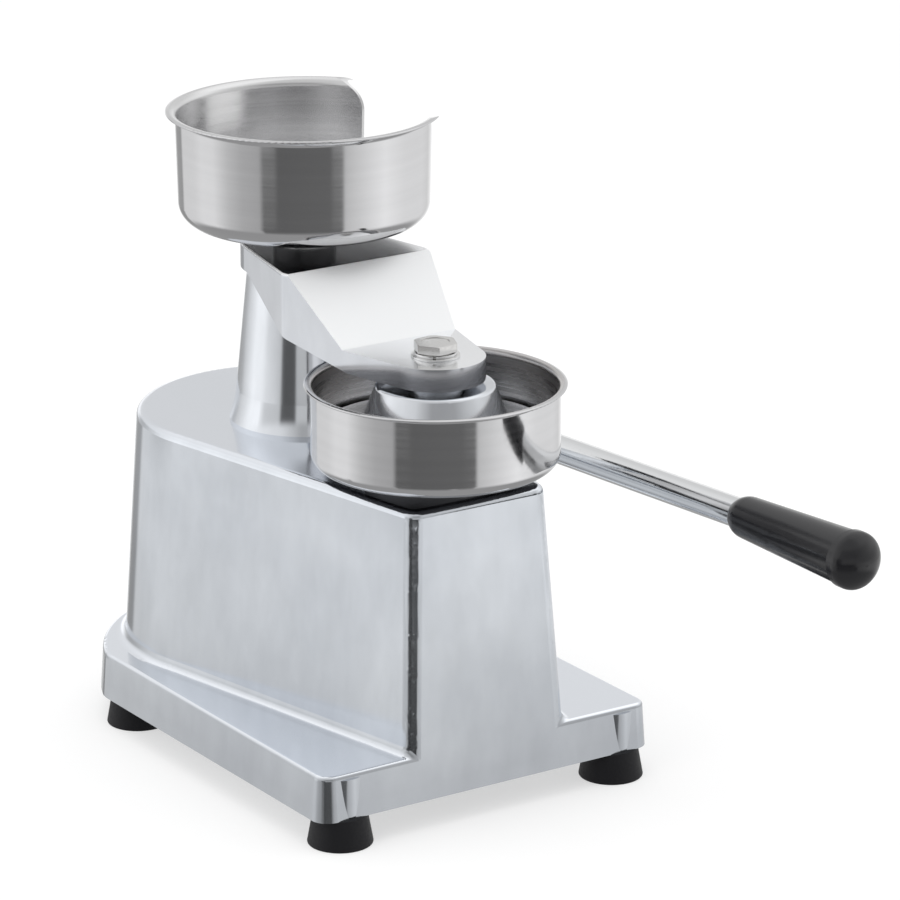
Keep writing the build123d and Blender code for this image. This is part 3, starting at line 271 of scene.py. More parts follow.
# %% [markdown]
# A large soft lamp hangs above and a weaker one stands at the left. They light the table, the
# sanded slopes of the arm and the black pieces, and their size keeps the shadow on the table
# soft. Sun lamps would be simpler, but their shadow has a hard edge. Mirrored rays don't see
# these lamps, because a polished wall would show each one as a sharp square.

# %% Hang the lamps


def soft_lamp(name, place, aim, size, power):
    """A square area lamp that looks at a point."""
    lamp_data = bpy.data.lights.new(name, "AREA")
    lamp_data.shape = "SQUARE"
    lamp_data.size = size
    lamp_data.energy = power
    lamp = bpy.data.objects.new(name, lamp_data)
    scene.collection.objects.link(lamp)
    lamp.location = place
    lamp.rotation_euler = (Vector(aim) - Vector(place)).to_track_quat("-Z", "Y").to_euler()
    lamp.visible_glossy = False


press_middle = (0.0, 0.0, 0.17)
soft_lamp("overhead_lamp", place=(-0.3, -0.1, 2.2), aim=press_middle, size=1.6, power=9.0)
soft_lamp("left_lamp", place=(-2.2, -0.6, 1.1), aim=press_middle, size=1.4, power=6.0)

# %% [markdown]
# The table is a wide plain floor. It could be lit until it is white, but that light would wash
# out the press as well. Instead, half of what the camera sees of it is a glow of its own, so that
# it melts into the white background and only the soft shadow at the feet is left. Mirrored rays
# pass through it and see the lowest rings of the painted room.

# %% Lay the floor
floor_size = 12.0
glow_share = 0.50
glow_strength = 1.15
bpy.ops.object.select_all(action="DESELECT")
bpy.ops.mesh.primitive_plane_add(size=floor_size, location=(0.0, 0.0, 0.0))
floor = bpy.context.object
floor.name = "floor"
floor.visible_glossy = False
floor_paint = bpy.data.materials.new("floor_paint")
floor_paint.use_nodes = True
floor_tree = floor_paint.node_tree
floor_shader = floor_tree.nodes["Principled BSDF"]
floor_shader.inputs["Base Color"].default_value = (0.95, 0.95, 0.95, 1.0)
floor_shader.inputs["Roughness"].default_value = 0.9
floor_shader.inputs["Specular IOR Level"].default_value = 0.0
floor_glow = add_node(floor_tree, "ShaderNodeEmission", Color=white, Strength=glow_strength)
floor_rays = add_node(floor_tree, "ShaderNodeLightPath")
floor_share = calculate(floor_tree, "MULTIPLY", floor_rays.outputs["Is Camera Ray"], glow_share)
floor_mix = add_node(floor_tree, "ShaderNodeMixShader")
floor_tree.links.new(floor_share, floor_mix.inputs[0])
floor_tree.links.new(floor_shader.outputs[0], floor_mix.inputs[1])
floor_tree.links.new(floor_glow.outputs[0], floor_mix.inputs[2])
floor_tree.links.new(floor_mix.outputs[0], floor_tree.nodes["Material Output"].inputs["Surface"])
floor.data.materials.append(floor_paint)
print("floor laid, with nodes:", len(floor_tree.nodes))

# %% [markdown]
# Every finish starts in the same way: a material with its main values on the shader's own
# sockets. A flat colour looks like paint, so noise then varies the gloss, the colour and the
# surface. The noise could run on UV maps, but the solids have none. It runs on Object
# coordinates instead, which need no map and stay put when a piece moves. A noise seldom leaves
# the range from 0.3 to 0.7, so that range is stretched to the two values that are wanted.

# %% Start a finish
noise_low = 0.3
noise_high = 0.7


def workings(finish):
    """Node tree of a finish and its main shader."""
    return finish.node_tree, finish.node_tree.nodes["Principled BSDF"]


def new_finish(name, color, metallic, roughness):
    """A material with its main values set on the shader's own sockets."""
    finish = bpy.data.materials.new(name)
    finish.use_nodes = True
    tree, shader = workings(finish)
    shader.inputs["Base Color"].default_value = (*color, 1.0)
    shader.inputs["Metallic"].default_value = metallic
    shader.inputs["Roughness"].default_value = roughness
    return finish, tree, shader


def object_noise(tree, scale, stretch=(1.0, 1.0, 1.0), detail=3.0, place=(0.0, 0.0, 0.0)):
    """Noise on Object coordinates, drawn out along an axis by a small stretch value."""
    source = add_node(tree, "ShaderNodeTexCoord")
    mapping = add_node(tree, "ShaderNodeMapping", Scale=stretch, Location=place)
    tree.links.new(source.outputs["Object"], mapping.inputs["Vector"])
    noise = add_node(tree, "ShaderNodeTexNoise", Scale=scale, Detail=detail)
    tree.links.new(mapping.outputs[0], noise.inputs["Vector"])
    return noise.outputs[0]


def vary_roughness(tree, shader, noise, low, high):
    """Lets a noise run the roughness between two values."""
    tree.links.new(remap(tree, noise, noise_low, noise_high, low, high), shader.inputs["Roughness"])


def vary_color(tree, shader, noise, dark, light):
    """Lets a noise run the colour between two values."""
    share = remap(tree, noise, noise_low, noise_high)
    tree.links.new(mix(tree, share, (*dark, 1.0), (*light, 1.0)), shader.inputs["Base Color"])


def add_bump(tree, shader, noise, distance):
    """Raises the surface by a noise."""
    bump = add_node(tree, "ShaderNodeBump", Strength=1.0, Distance=distance)
    tree.links.new(noise, bump.inputs["Height"])
    tree.links.new(bump.outputs[0], shader.inputs["Normal"])


def dress(names, finish):
    """Puts a finish on solids of the frame."""
    for name in names:
        for place in nodes[name].material_slots:
            place.material = finish


print("ready to mix finishes")

# %% [markdown]
# The body, the column, the arm and the press head are cast in aluminium and polished by hand on a
# wheel. That leaves a cloudy gloss, fine strokes, and a surface that is never quite flat. A map
# painted by hand could hold all of this. Four noises do it here, because they cover every side of
# the casting alike and have no seam. The waves in the surface are at most a tenth of a millimetre
# deep, because deeper ones would melt the mirrored room into an even grey. The seat under the
# bowl is the same metal, rough, and painted dark as painted shade for the shadow under the bowl.

# %% Mix cast aluminium
cloud_scale = 14.0
tint_scale = 9.0
stroke_scale = 75.0
stroke_dark = 0.965
stroke_light = 1.035
wave_scale = 16.0


def incoming(shader, socket):
    """What is linked to a socket of the shader so far."""
    return shader.inputs[socket].links[0].from_socket


def cast_aluminium(name, low, high, wave, dark, light):
    """Hand-polished casting: cloudy gloss over a surface that waves a little."""
    finish, tree, shader = new_finish(name, light, 1.0, (low + high) / 2)
    clouds = object_noise(tree, cloud_scale, detail=4.0)
    vary_roughness(tree, shader, clouds, low, high)
    tint = object_noise(tree, tint_scale, detail=5.0, place=(0.3, 0.1, 0.7))
    vary_color(tree, shader, tint, dark, light)
    strokes = object_noise(tree, stroke_scale, stretch=(1.0, 1.0, 0.45), place=(0.1, 0.6, 0.2))
    stroke_gain = remap(tree, strokes, noise_low, noise_high, stroke_dark, stroke_light)
    brushed = scaled(tree, incoming(shader, "Base Color"), stroke_gain)
    tree.links.new(brushed, shader.inputs["Base Color"])
    waves = object_noise(tree, wave_scale, detail=0.0)
    add_bump(tree, shader, waves, wave)
    return finish


dress(["column"], cast_aluminium("polished_column", low=0.09, high=0.15, wave=0.00005,
                                 dark=(0.74, 0.77, 0.81), light=(0.80, 0.825, 0.865)))
# The press head gets a darker colour than the column: painted shade, for the dark that it mirrors
# of the bowl around it.
dress(["press_head"], cast_aluminium("polished_head", low=0.09, high=0.15, wave=0.0001,
                                     dark=(0.66, 0.685, 0.72), light=(0.73, 0.75, 0.785)))
# The seat is painted dark: painted shade for the shadow under the bowl.
dress(["bowl_seat"], cast_aluminium("painted_shade_seat", low=0.30, high=0.42, wave=0.0001,
                                    dark=(0.10, 0.10, 0.105), light=(0.14, 0.14, 0.145)))
print("column, press head and bowl seat dressed")

# %% [markdown]
# The level faces of the body are ground and polished last, so they have a gloss of their own. Their
# lighter colour is painted light, for the light that they catch from above, and the walls get
# darker towards the foot, which is painted shade. One material for each face would need the faces
# picked out by hand. Here the material reads how far a face looks up and how high a point lies, and
# blends by that. The second shade runs the other way and covers the level faces too: its painted
# light makes the top of the foot plate lighter.

# %% Polish the level faces of the body, and paint light and shade on it
level_start = 0.45
level_end = 0.90
smear_scale = 26.0
smear_low = 0.35
smear_high = 0.65


def coordinates(tree, kind):
    """X, Y and Z of the point, with the kind Object, or of the way its face looks, with Normal."""
    source = add_node(tree, "ShaderNodeTexCoord")
    parts = add_node(tree, "ShaderNodeSeparateXYZ")
    tree.links.new(source.outputs[kind], parts.inputs[0])
    return parts.outputs


def polish_flats_and_paint_light(finish, low, high, color):
    """Gives level faces a gloss of their own, and a lighter colour that is painted light."""
    tree, shader = workings(finish)
    level = remap(tree, coordinates(tree, "Normal")["Z"], level_start, level_end,
                  kind="SMOOTHSTEP")
    smears = object_noise(tree, smear_scale, stretch=(1.0, 0.45, 1.0), place=(0.5, 0.2, 0.4))
    gloss = remap(tree, smears, smear_low, smear_high, low, high)
    rough = mix(tree, level, incoming(shader, "Roughness"), gloss, kind="FLOAT")
    tree.links.new(rough, shader.inputs["Roughness"])
    shade = mix(tree, level, incoming(shader, "Base Color"), (*color, 1.0))
    tree.links.new(shade, shader.inputs["Base Color"])


def paint_shade_by_height(finish, low_z, high_z, low_gain, high_gain):
    """Paints shade and light into the colour of the metal, from one height to another."""
    tree, shader = workings(finish)
    gain = remap(tree, coordinates(tree, "Object")["Z"], low_z, high_z, low_gain, high_gain)
    shade = scaled(tree, incoming(shader, "Base Color"), gain)
    tree.links.new(shade, shader.inputs["Base Color"])


# The walls get a darker colour than the column, which is painted shade. The grades by height and
# the lighter level faces below are painted shade and painted light.
body_finish = cast_aluminium("cast_body", low=0.11, high=0.17, wave=0.00004,
                             dark=(0.61, 0.64, 0.685), light=(0.73, 0.76, 0.80))
paint_shade_by_height(body_finish, low_z=0.025, high_z=0.145, low_gain=0.61, high_gain=1.10)
polish_flats_and_paint_light(body_finish, low=0.08, high=0.16, color=(0.82, 0.85, 0.90))
paint_shade_by_height(body_finish, low_z=0.030, high_z=0.160, low_gain=1.10, high_gain=0.96)
dress(["housing"], body_finish)
print("body dressed, with nodes:", len(body_finish.node_tree.nodes))

# %% [markdown]
# The slopes on the arm, from its raised middle down to its nose, are only sanded, so they are
# matt and pale between the polished wall and the polished top. They could be faces with a second
# material, picked out by hand. A blend by the slant of the face finds them by itself, and keeps
# the wall and the top as they are.

# %% Sand the slopes of the arm
slope_start = 0.30
slope_full = 0.50
slope_end = 0.90
top_start = 0.97


def sand_slopes(finish, rough, metal, color):
    """Makes slanting faces matt and pale."""
    tree, shader = workings(finish)
    upward = coordinates(tree, "Normal")["Z"]
    rising = remap(tree, upward, slope_start, slope_full, kind="SMOOTHSTEP")
    falling = remap(tree, upward, slope_end, top_start, 1.0, 0.0, kind="SMOOTHSTEP")
    slant = calculate(tree, "MULTIPLY", rising, falling)
    matt = mix(tree, slant, incoming(shader, "Roughness"), rough, kind="FLOAT")
    tree.links.new(matt, shader.inputs["Roughness"])
    tree.links.new(remap(tree, slant, 0.0, 1.0, 1.0, metal), shader.inputs["Metallic"])
    shade = mix(tree, slant, incoming(shader, "Base Color"), (*color, 1.0))
    tree.links.new(shade, shader.inputs["Base Color"])


# The walls of the arm get a darker colour than the column, which is painted shade, and its level
# faces a lighter one, which is painted light.
arm_finish = cast_aluminium("polished_arm", low=0.10, high=0.17, wave=0.00006,
                            dark=(0.60, 0.625, 0.66), light=(0.67, 0.69, 0.725))
polish_flats_and_paint_light(arm_finish, low=0.13, high=0.22, color=(0.95, 0.96, 0.975))
sand_slopes(arm_finish, rough=0.42, metal=0.25, color=(0.955, 0.965, 0.975))
dress(["swing_arm"], arm_finish)
print("arm dressed, with nodes:", len(arm_finish.node_tree.nodes))

# %% [markdown]
# The mould bowl and the paper dish are spun from stainless sheet. The tool leaves fine rings
# round the axis, on the wall and on the floor alike. A noise on X and Y would give spots, and a
# wave texture would give rings that are all alike. So a noise is drawn from the distance to the
# axis and the height, and changes only from ring to ring. A face that looks at the axis is on
# the inside, which is brushed and has a colour of its own. The underside is dull, and its dark
# colour is painted shade.

# %% Find the rings, the inside and the underside
inner_edge = 0.02
under_start = -0.75
under_end = -0.95


def from_axis(tree, center_y):
    """Vector from an upright axis at X = 0 to the point, with its height left out."""
    source = add_node(tree, "ShaderNodeTexCoord")
    level = add_node(tree, "ShaderNodeMapping", vector_type="POINT",
                     Location=(0.0, -center_y, 0.0), Scale=(1.0, 1.0, 0.0))
    tree.links.new(source.outputs["Object"], level.inputs["Vector"])
    return level.outputs[0]


def ring_noise(tree, spoke, scale):
    """Noise that changes only with the distance to the axis and the height."""
    reach = add_node(tree, "ShaderNodeVectorMath", operation="LENGTH")
    tree.links.new(spoke, reach.inputs[0])
    rings = add_node(tree, "ShaderNodeCombineXYZ")
    tree.links.new(reach.outputs["Value"], rings.inputs["X"])
    tree.links.new(coordinates(tree, "Object")["Z"], rings.inputs["Y"])
    noise = add_node(tree, "ShaderNodeTexNoise", Scale=scale, Detail=2.0)
    tree.links.new(rings.outputs[0], noise.inputs["Vector"])
    return noise.outputs[0]


def inside_share(tree, spoke):
    """One where a face looks at the axis, half where it is level, zero where it looks away."""
    source = add_node(tree, "ShaderNodeTexCoord")
    facing = add_node(tree, "ShaderNodeVectorMath", operation="DOT_PRODUCT")
    tree.links.new(spoke, facing.inputs[0])
    tree.links.new(source.outputs["Normal"], facing.inputs[1])
    return remap(tree, facing.outputs["Value"], inner_edge, -inner_edge)


def under_share(tree):
    """One where a face looks down, and zero on walls and floors."""
    return remap(tree, coordinates(tree, "Normal")["Z"], under_start, under_end)


def middle_of(node):
    """Middle of a solid's box."""
    low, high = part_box(node)
    return Vector([(first + second) / 2 for first, second in zip(low, high)])


bowl_y = middle_of("mould_bowl").y
column_y = middle_of("column").y
print("bowl axis at Y =", round(bowl_y, 4), "and column axis at Y =", round(column_y, 4))

# %% [markdown]
# The finish of the sheet is put together from those three. The fine rings vary the gloss and
# raise the surface a little, and wider, fainter bands vary the colour. The two pieces could have
# a finish each, but they are spun in the same way. So one recipe serves both, and its values
# give the dish lower rings and a brighter inside than the bowl.

# %% Dress the bowl and the dish
sheet_color = (0.66, 0.66, 0.67)
# The underside colour is painted shade: the sheet is painted nearly black where it looks down.
under_side_painted_shade = (0.06, 0.06, 0.065)
under_side_rough = 0.5
mark_scale = 480.0
mark_low = 0.8
mark_high = 1.2
band_scale = 240.0
band_dark = 0.975
band_light = 1.02


def spun_sheet(name, center_y, outside, inside, inner_color, ring_depth):
    """Stainless sheet: glossy outside, brushed inside, and dull underneath, with painted shade
    there.
    """
    finish, tree, shader = new_finish(name, sheet_color, 1.0, outside)
    spoke = from_axis(tree, center_y)
    inner = inside_share(tree, spoke)
    under = under_share(tree)
    marks = ring_noise(tree, spoke, mark_scale)
    gloss = mix(tree, inner, outside, inside, kind="FLOAT")
    dull = mix(tree, under, gloss, under_side_rough, kind="FLOAT")
    uneven = remap(tree, marks, noise_low, noise_high, mark_low, mark_high)
    tree.links.new(calculate(tree, "MULTIPLY", dull, uneven), shader.inputs["Roughness"])
    tone = mix(tree, inner, (*sheet_color, 1.0), (*inner_color, 1.0))
    bands = ring_noise(tree, spoke, band_scale)
    banded = scaled(tree, tone, remap(tree, bands, noise_low, noise_high, band_dark, band_light))
    shade = mix(tree, under, banded, (*under_side_painted_shade, 1.0))
    tree.links.new(shade, shader.inputs["Base Color"])
    add_bump(tree, shader, marks, ring_depth)
    return finish


dress(["mould_bowl", "ejector_plate"],
      spun_sheet("spun_bowl", bowl_y, outside=0.09, inside=0.28,
                 inner_color=(0.56, 0.545, 0.54), ring_depth=0.000003))
dress(["paper_dish"],
      spun_sheet("spun_dish", column_y, outside=0.09, inside=0.22,
                 inner_color=(0.72, 0.72, 0.725), ring_depth=0.000002))
print("bowl, ejector plate and dish dressed")

# %% [markdown]
# The lever rod, its hub, the cross shaft and the plunger are chromed. Screws, washers, pins and
# the lifting fork are zinc-plated, and the bushes are turned bronze. The spacer and the washer
# under the dish are dark, dull steel. Each of these is one even colour with a gloss and a grain
# of its own. A photograph of each metal could be wrapped round the piece. A fine noise in gloss
# and surface is enough, because the pieces are small. The record says which solid is of which
# material, so most finishes are handed out by its slots.

# %% Plate the steel and turn the bronze


def grained(name, color, metallic, low, high, grain_scale, grain_depth):
    """Even colour with a fine grain in its gloss and its surface."""
    finish, tree, shader = new_finish(name, color, metallic, (low + high) / 2)
    grain = object_noise(tree, grain_scale)
    vary_roughness(tree, shader, grain, low, high)
    add_bump(tree, shader, grain, grain_depth)
    return finish


chrome = grained("bright_chrome", (0.78, 0.79, 0.80), metallic=1.0, low=0.06, high=0.14,
                 grain_scale=300.0, grain_depth=0.000004)
zinc = grained("zinc_plate", (0.74, 0.74, 0.74), metallic=1.0, low=0.14, high=0.24,
               grain_scale=260.0, grain_depth=0.000004)
bronze = grained("turned_bronze", (0.62, 0.42, 0.22), metallic=1.0, low=0.25, high=0.40,
                 grain_scale=600.0, grain_depth=0.00001)
dull_steel = grained("dull_steel", (0.12, 0.12, 0.125), metallic=1.0, low=0.35, high=0.50,
                     grain_scale=300.0, grain_depth=0.00001)
slots = {entry["node"]: entry["material_slot"] for entry in frame["record"]["subparts"]}
for slot_name, finish in (("chrome", chrome), ("zinc_steel", zinc), ("bronze", bronze)):
    dress([node for node, slot in slots.items() if slot == slot_name], finish)
dress(["ejector_stem"], chrome)
dress(["dish_spacer", "dish_washer"], dull_steel)
print("plated pieces dressed")

# %% [markdown]
# The grip is moulded in glossy black plastic, and the feet are matt black rubber. Both could be
# one black, but the grip mirrors the studio in a clear line and rubber hardly shines. So the feet
# get a rougher skin, with a finer and deeper grain and half the mirror strength.

# %% Mould the grip and the feet


def black_moulding(name, color, specular, low, high, grain_scale, grain_depth):
    """Moulded black material with a fine skin."""
    finish = grained(name, color, 0.0, low, high, grain_scale, grain_depth)
    shader = workings(finish)[1]
    shader.inputs["Specular IOR Level"].default_value = specular
    return finish


dress(["lever_grip"],
      black_moulding("grip_plastic", (0.010, 0.010, 0.012), specular=0.5, low=0.16, high=0.24,
                     grain_scale=300.0, grain_depth=0.000004))
dress([node for node, slot in slots.items() if slot == "rubber"],
      black_moulding("foot_rubber", (0.009, 0.009, 0.011), specular=0.25, low=0.45, high=0.60,
                     grain_scale=900.0, grain_depth=0.00002))
print("grip and feet dressed")

# %% [markdown]
# The solids of the frame hold the size and place of each bolt, but a real hexagon head has more
# to it: turning leaves a cone on its corners, a thin round face sits under it, and forging leaves
# a shallow hollow on top. These edges could be bevelled one by one. Here one bar is cut by another
# with a Boolean modifier, because the curved edges where a cone meets the flats then come out by
# themselves. Every piece is made upright at the origin, and then turned and moved to its place.

# %% Cut one bar with another


def select_only(piece):
    """Leaves one piece selected and active."""
    bpy.ops.object.select_all(action="DESELECT")
    piece.select_set(True)
    bpy.context.view_layer.objects.active = piece


def cut_with(piece, tool, operation):
    """Cuts a piece with another one, which is then thrown away."""
    cut = piece.modifiers.new("cut", "BOOLEAN")
    cut.operation = operation
    cut.solver = "EXACT"
    cut.object = tool
    select_only(piece)
    bpy.ops.object.modifier_apply(modifier=cut.name)
    bpy.data.objects.remove(tool)


def round_bar(radius, low, high, sides=64):
    """Upright bar on the Z axis."""
    bpy.ops.object.select_all(action="DESELECT")
    bpy.ops.mesh.primitive_cylinder_add(vertices=sides, radius=radius, depth=high - low,
                                        location=(0.0, 0.0, (low + high) / 2))
    return bpy.context.object


print("ready to cut bars")

# %% [markdown]
# A hexagon bar is a bar with six sides. The primitive has two of its corners on the Y axis, so it
# is turned by thirty degrees. The cone that takes the corners off has a narrow end between the
# half width across the flats and the reach of the corners. It slopes by only twenty degrees: a
# steeper cut would take so much that the head looks round. Its many sides leave a smooth curve on
# each flat.

# %% Make a hexagon bar and the cone for its corners
chamfer_slope = radians(20)
narrow_end = 0.545
smooth_sides = 96
cone_sides = 144


def hexagon_bar(flats, low, high):
    """Hexagon bar with two of its corners on the X axis."""
    block = round_bar(flats / 2 / cos(pi / 6), low, high, sides=6)
    block.rotation_euler.z = pi / 6
    bpy.ops.object.transform_apply(location=True, rotation=True, scale=True)
    return block


def chamfer_cone(flats, low, high, point_up):
    """Cone that takes the corners off a hexagon bar at one end."""
    narrow = narrow_end * flats
    wide = narrow + (high - low) / tan(chamfer_slope)
    bottom, top = (wide, narrow) if point_up else (narrow, wide)
    bpy.ops.object.select_all(action="DESELECT")
    bpy.ops.mesh.primitive_cone_add(vertices=cone_sides, radius1=bottom, radius2=top,
                                    depth=high - low, location=(0.0, 0.0, (low + high) / 2))
    return bpy.context.object


print("chamfer slope in degrees:", round(degrees(chamfer_slope)))

# %% [markdown]
# A bolt is a head, the thin face under it and a shank. They could be one mesh drawn out of a
# single hexagon, but three simple pieces that are joined stay easier to change. The hollow is cut
# with a shallow bar, because insetting the top after the cone has cut it makes long spikes.

# %% Make a bolt
thin_face = 0.0006
face_width = 0.44
hollow_width = 0.36
hollow_depth = 0.0003
shank_overlap = 0.0002
shank_bevel = 0.0008


def bevelled_shank(radius, length):
    """Round shank below height zero, with a bevelled end."""
    shank = round_bar(radius, -length, shank_overlap)
    bevel = shank.modifiers.new("bevel", "BEVEL")
    bevel.width = shank_bevel
    bevel.segments = 2
    bevel.limit_method = "ANGLE"
    select_only(shank)
    bpy.ops.object.modifier_apply(modifier=bevel.name)
    return shank


def hexagon_bolt(flats, head, shank_radius, shank_length):
    """Upright bolt whose head starts at height zero."""
    block = hexagon_bar(flats, thin_face, head)
    cut_with(block, chamfer_cone(flats, thin_face, head, point_up=True), "INTERSECT")
    hollow = round_bar(hollow_width * flats, head - hollow_depth, 2 * head, sides=smooth_sides)
    cut_with(block, hollow, "DIFFERENCE")
    face_ring = round_bar(face_width * flats, 0.0, thin_face, sides=smooth_sides)
    shank = bevelled_shank(shank_radius, shank_length)
    select_only(block)
    face_ring.select_set(True)
    shank.select_set(True)
    bpy.ops.object.join()
    return bpy.context.object


print("thin face under a head, in mm:", 1000 * thin_face)

# %% [markdown]
# A lock nut has both ends chamfered and a hole through it. Each cone reaches a whole height past
# the nut, so that its wide end stays clear of the bar. Its narrow end and the bar end in one
# plane, where a Boolean can leave gaps, so the last step merges points that almost touch and
# closes what is still open. A nut could also be turned from a cross-section, but its six flats
# would then have to be cut as well.

# %% Make a nut
nut_merge = 0.00002


def hexagon_nut(flats, height, hole_radius):
    """Upright nut with both ends chamfered."""
    block = hexagon_bar(flats, 0.0, height)
    cut_with(block, chamfer_cone(flats, -height, height, point_up=True), "INTERSECT")
    cut_with(block, chamfer_cone(flats, 0.0, 2 * height, point_up=False), "INTERSECT")
    cut_with(block, round_bar(hole_radius, -height, 2 * height, sides=smooth_sides), "DIFFERENCE")
    select_only(block)
    bpy.ops.object.mode_set(mode="EDIT")
    bpy.ops.mesh.select_all(action="SELECT")
    bpy.ops.mesh.remove_doubles(threshold=nut_merge)
    bpy.ops.mesh.fill_holes(sides=0)
    bpy.ops.object.mode_set(mode="OBJECT")
    return block


print("points of a nut merge within, in mm:", 1000 * nut_merge)

# %% [markdown]
# A washer is stamped, which rounds its edges, and a spring washer is split. Both could be cut out
# of a bar. Turning is closer to their form: the cross-section is drawn once as a plane, its
# corners are rounded, and it is spun round the Z axis. A sweep below a full turn leaves the split
# by itself, and its two ends are then filled.

# %% Make a washer
full_turn = 2 * pi
split_turn = radians(352)
turning_steps = 112
corner_steps = 3
ring_merge = 0.000005


def turned_ring(hole, rim, thickness, corner, sweep):
    """Ring swept from its own cross-section, which is rounded at its corners."""
    bpy.ops.object.select_all(action="DESELECT")
    bpy.ops.mesh.primitive_plane_add(size=1.0, location=((hole + rim) / 2, 0.0, thickness / 2),
                                     rotation=(pi / 2, 0.0, 0.0))
    ring_piece = bpy.context.object
    ring_piece.scale = (rim - hole, thickness, 1.0)
    bpy.ops.object.transform_apply(location=True, rotation=True, scale=True)
    bpy.ops.object.mode_set(mode="EDIT")
    bpy.ops.mesh.select_mode(type="VERT")
    bpy.ops.mesh.select_all(action="SELECT")
    bpy.ops.mesh.bevel(offset=corner, affect="VERTICES", segments=corner_steps)
    bpy.ops.mesh.select_all(action="SELECT")
    bpy.ops.mesh.delete(type="ONLY_FACE")
    bpy.ops.mesh.select_all(action="SELECT")
    bpy.ops.mesh.spin(steps=turning_steps, angle=sweep, center=(0.0, 0.0, 0.0),
                      axis=(0.0, 0.0, 1.0))
    bpy.ops.mesh.select_all(action="SELECT")
    bpy.ops.mesh.remove_doubles(threshold=ring_merge)
    bpy.ops.mesh.fill_holes(sides=0)
    bpy.ops.mesh.select_all(action="SELECT")
    bpy.ops.mesh.normals_make_consistent(inside=False)
    bpy.ops.object.mode_set(mode="OBJECT")
    return ring_piece


print("a split washer leaves", round(degrees(full_turn - split_turn)), "degrees open")

# %% [markdown]
# A finished piece has its place in its mesh, and its own origin stays at the origin of the press.
# So a turn and a move are applied as soon as they are set. The piece could be linked to its solid
# by hand in two steps, but they are the same for every piece: it rides on the solid's body, and it
# takes the solid's place in view.

# %% Put a piece in its place
sharp_turn = radians(16)
body_of = {node: body for body, members in frame["record"]["behaviour"]["bodies"].items()
           for node in members}


def settle(piece, name, finish, turn, place):
    """Turns a piece about the origin, moves it to its place and gives it its finish."""
    piece.name = piece.data.name = name
    piece.rotation_mode = "ZYX"
    piece.rotation_euler = turn
    piece.location = place
    select_only(piece)
    bpy.ops.object.transform_apply(location=True, rotation=True, scale=True)
    bpy.ops.object.shade_smooth_by_angle(angle=sharp_turn)
    piece.data.materials.clear()
    piece.data.materials.append(finish)
    return piece


def stand_for(piece, node):
    """Lets a piece take the place and the motion of a solid."""
    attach(piece, body_of[node])
    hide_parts(node)
    ends = [[pick(corner[axis] for corner in piece.bound_box) for axis in range(3)]
            for pick in (min, max)]


print("bodies of the press:", sorted(set(body_of.values())))

# %% [markdown]
# A large bolt holds the press head under the nose of the arm. It has a warmer zinc than the rest,
# with a finer and deeper grain. It is turned a little, because a bolt that is tightened by hand
# doesn't stop in line with the press. Its sizes could all be typed in, but its seat and its length
# come from the box of its solid, so that it can't stand beside it.

# %% Fit the bolt of the press head


def fit_upright_bolt(node, name, finish, flats, head, shank, turn):
    """Makes a bolt and lets it stand where its solid stands."""
    low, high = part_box(node)
    seat = high.z - head
    bolt = hexagon_bolt(flats, head, shank, seat - low.z)
    settle(bolt, name, finish, (0.0, 0.0, turn), (0.0, middle_of(node).y, seat))
    stand_for(bolt, node)


bolt_zinc = grained("bolt_zinc", (0.68, 0.675, 0.665), metallic=1.0, low=0.10, high=0.26,
                    grain_scale=800.0, grain_depth=0.00001)
fit_upright_bolt("head_bolt", "hexagon_head_bolt", bolt_zinc, flats=0.021, head=0.005,
                 shank=0.007, turn=radians(7))

# %% [markdown]
# A split spring washer and a flat washer lie under the head bolt. The split is turned to the
# front left, where the camera sees it. The washers could be one turned piece with steps, but
# then the dark line between them would be missing.

# %% Fit the washers under the head bolt
washer_hole = 0.0074


def fit_upright_washer(node, name, rim, corner, sweep, turn):
    """Makes a washer and lets it lie where its solid lies."""
    low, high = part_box(node)
    washer = turned_ring(washer_hole, rim, high.z - low.z, corner, sweep)
    settle(washer, name, zinc, (0.0, 0.0, turn), (0.0, middle_of("head_bolt").y, low.z))
    stand_for(washer, node)


fit_upright_washer("head_lock_washer", "split_lock_washer", rim=0.0115, corner=0.0002,
                   sweep=split_turn, turn=radians(-130))
fit_upright_washer("head_washer", "flat_washer", rim=0.013, corner=0.0003,
                   sweep=full_turn, turn=0.0)

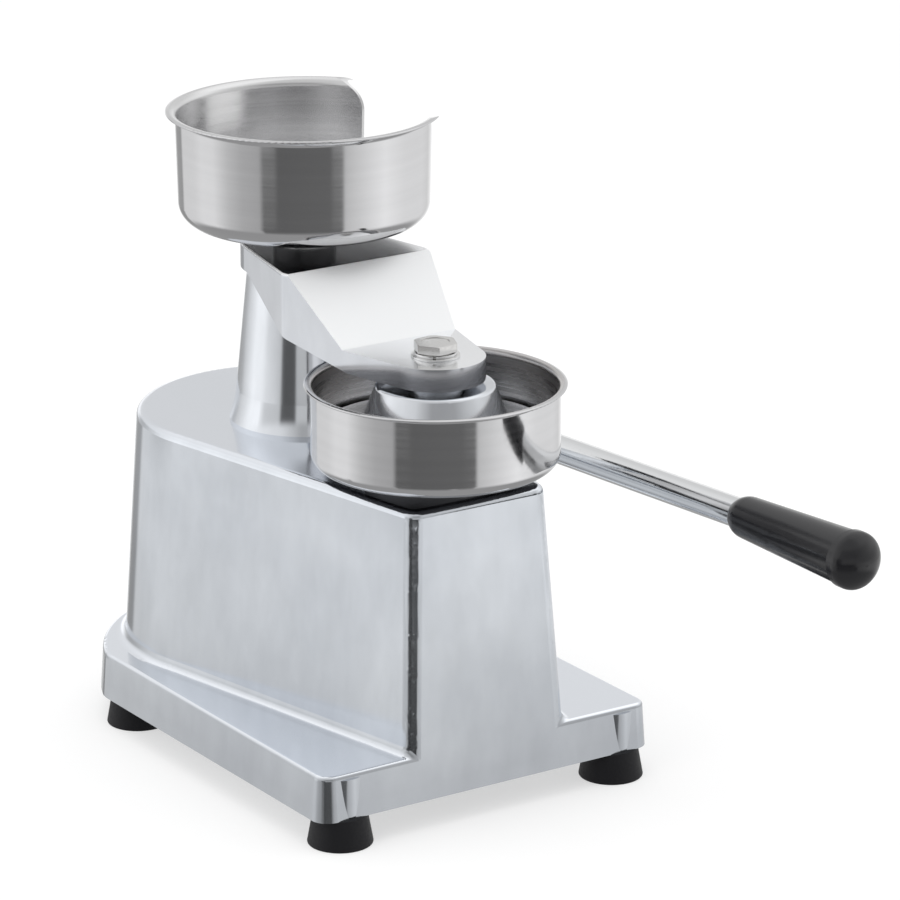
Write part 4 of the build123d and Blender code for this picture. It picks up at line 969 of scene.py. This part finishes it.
# %% [markdown]
# A small screw holds the paper dish on the plunger. It could be a copy of the bolt at another
# size, but the thin face and the hollow would shrink with it, so the same function makes it anew.

# %% Fit the screw of the dish
fit_upright_bolt("dish_screw", "dish_hexagon_screw", zinc, flats=0.013, head=0.0053,
                 shank=0.004, turn=0.0)

# %% [markdown]
# The lever's hub is kept on its shaft by a screw and a wide washer at the end. Both point along
# X, so they are laid over by a quarter turn about Y. They could be modelled lying down, but the
# functions for upright pieces are there already.

# %% Fit the screw and the washer at the end of the shaft
end_flats = 0.013
end_head = 0.0055
end_shank = 0.004
cap_hole = 0.0043
cap_rim = 0.013
cap_corner = 0.0004

end_low, end_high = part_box("shaft_end_screw")
end_middle = middle_of("shaft_end_screw")
end_seat = end_high.x - end_head
end_bolt = settle(hexagon_bolt(end_flats, end_head, end_shank, end_seat - end_low.x),
                  "shaft_end_hexagon_screw", zinc, (0.0, pi / 2, pi / 6),
                  (end_seat, end_middle.y, end_middle.z))
stand_for(end_bolt, "shaft_end_screw")
cap_low, cap_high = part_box("shaft_end_washer")
cap_middle = middle_of("shaft_end_washer")
cap_ring = settle(turned_ring(cap_hole, cap_rim, cap_high.x - cap_low.x, cap_corner, full_turn),
                  "shaft_end_cap_washer", zinc, (0.0, pi / 2, 0.0),
                  (cap_low.x, cap_middle.y, cap_middle.z))
stand_for(cap_ring, "shaft_end_washer")

# %% [markdown]
# The lever rod is screwed into the hub and held by a chromed lock nut. The rod rises a little
# towards the front, so the nut is tipped by the same angle. Its place is measured from the middle
# of its solid, half a height back along the rod. The nut could be left as its solid, but it
# stands free at the side, where its chamfers catch the light.

# %% Fit the lock nut of the rod
nut_flats = 0.024
nut_height = 0.008
nut_hole = 0.0082
rod_rise = radians(3.2)
rod_line = Vector((0.0, -cos(rod_rise), sin(rod_rise)))
lock_nut = settle(hexagon_nut(nut_flats, nut_height, nut_hole), "hexagon_lock_nut", chrome,
                  (pi / 2 - rod_rise, 0.0, 0.0),
                  middle_of("rod_lock_nut") - rod_line * nut_height / 2)
stand_for(lock_nut, "rod_lock_nut")
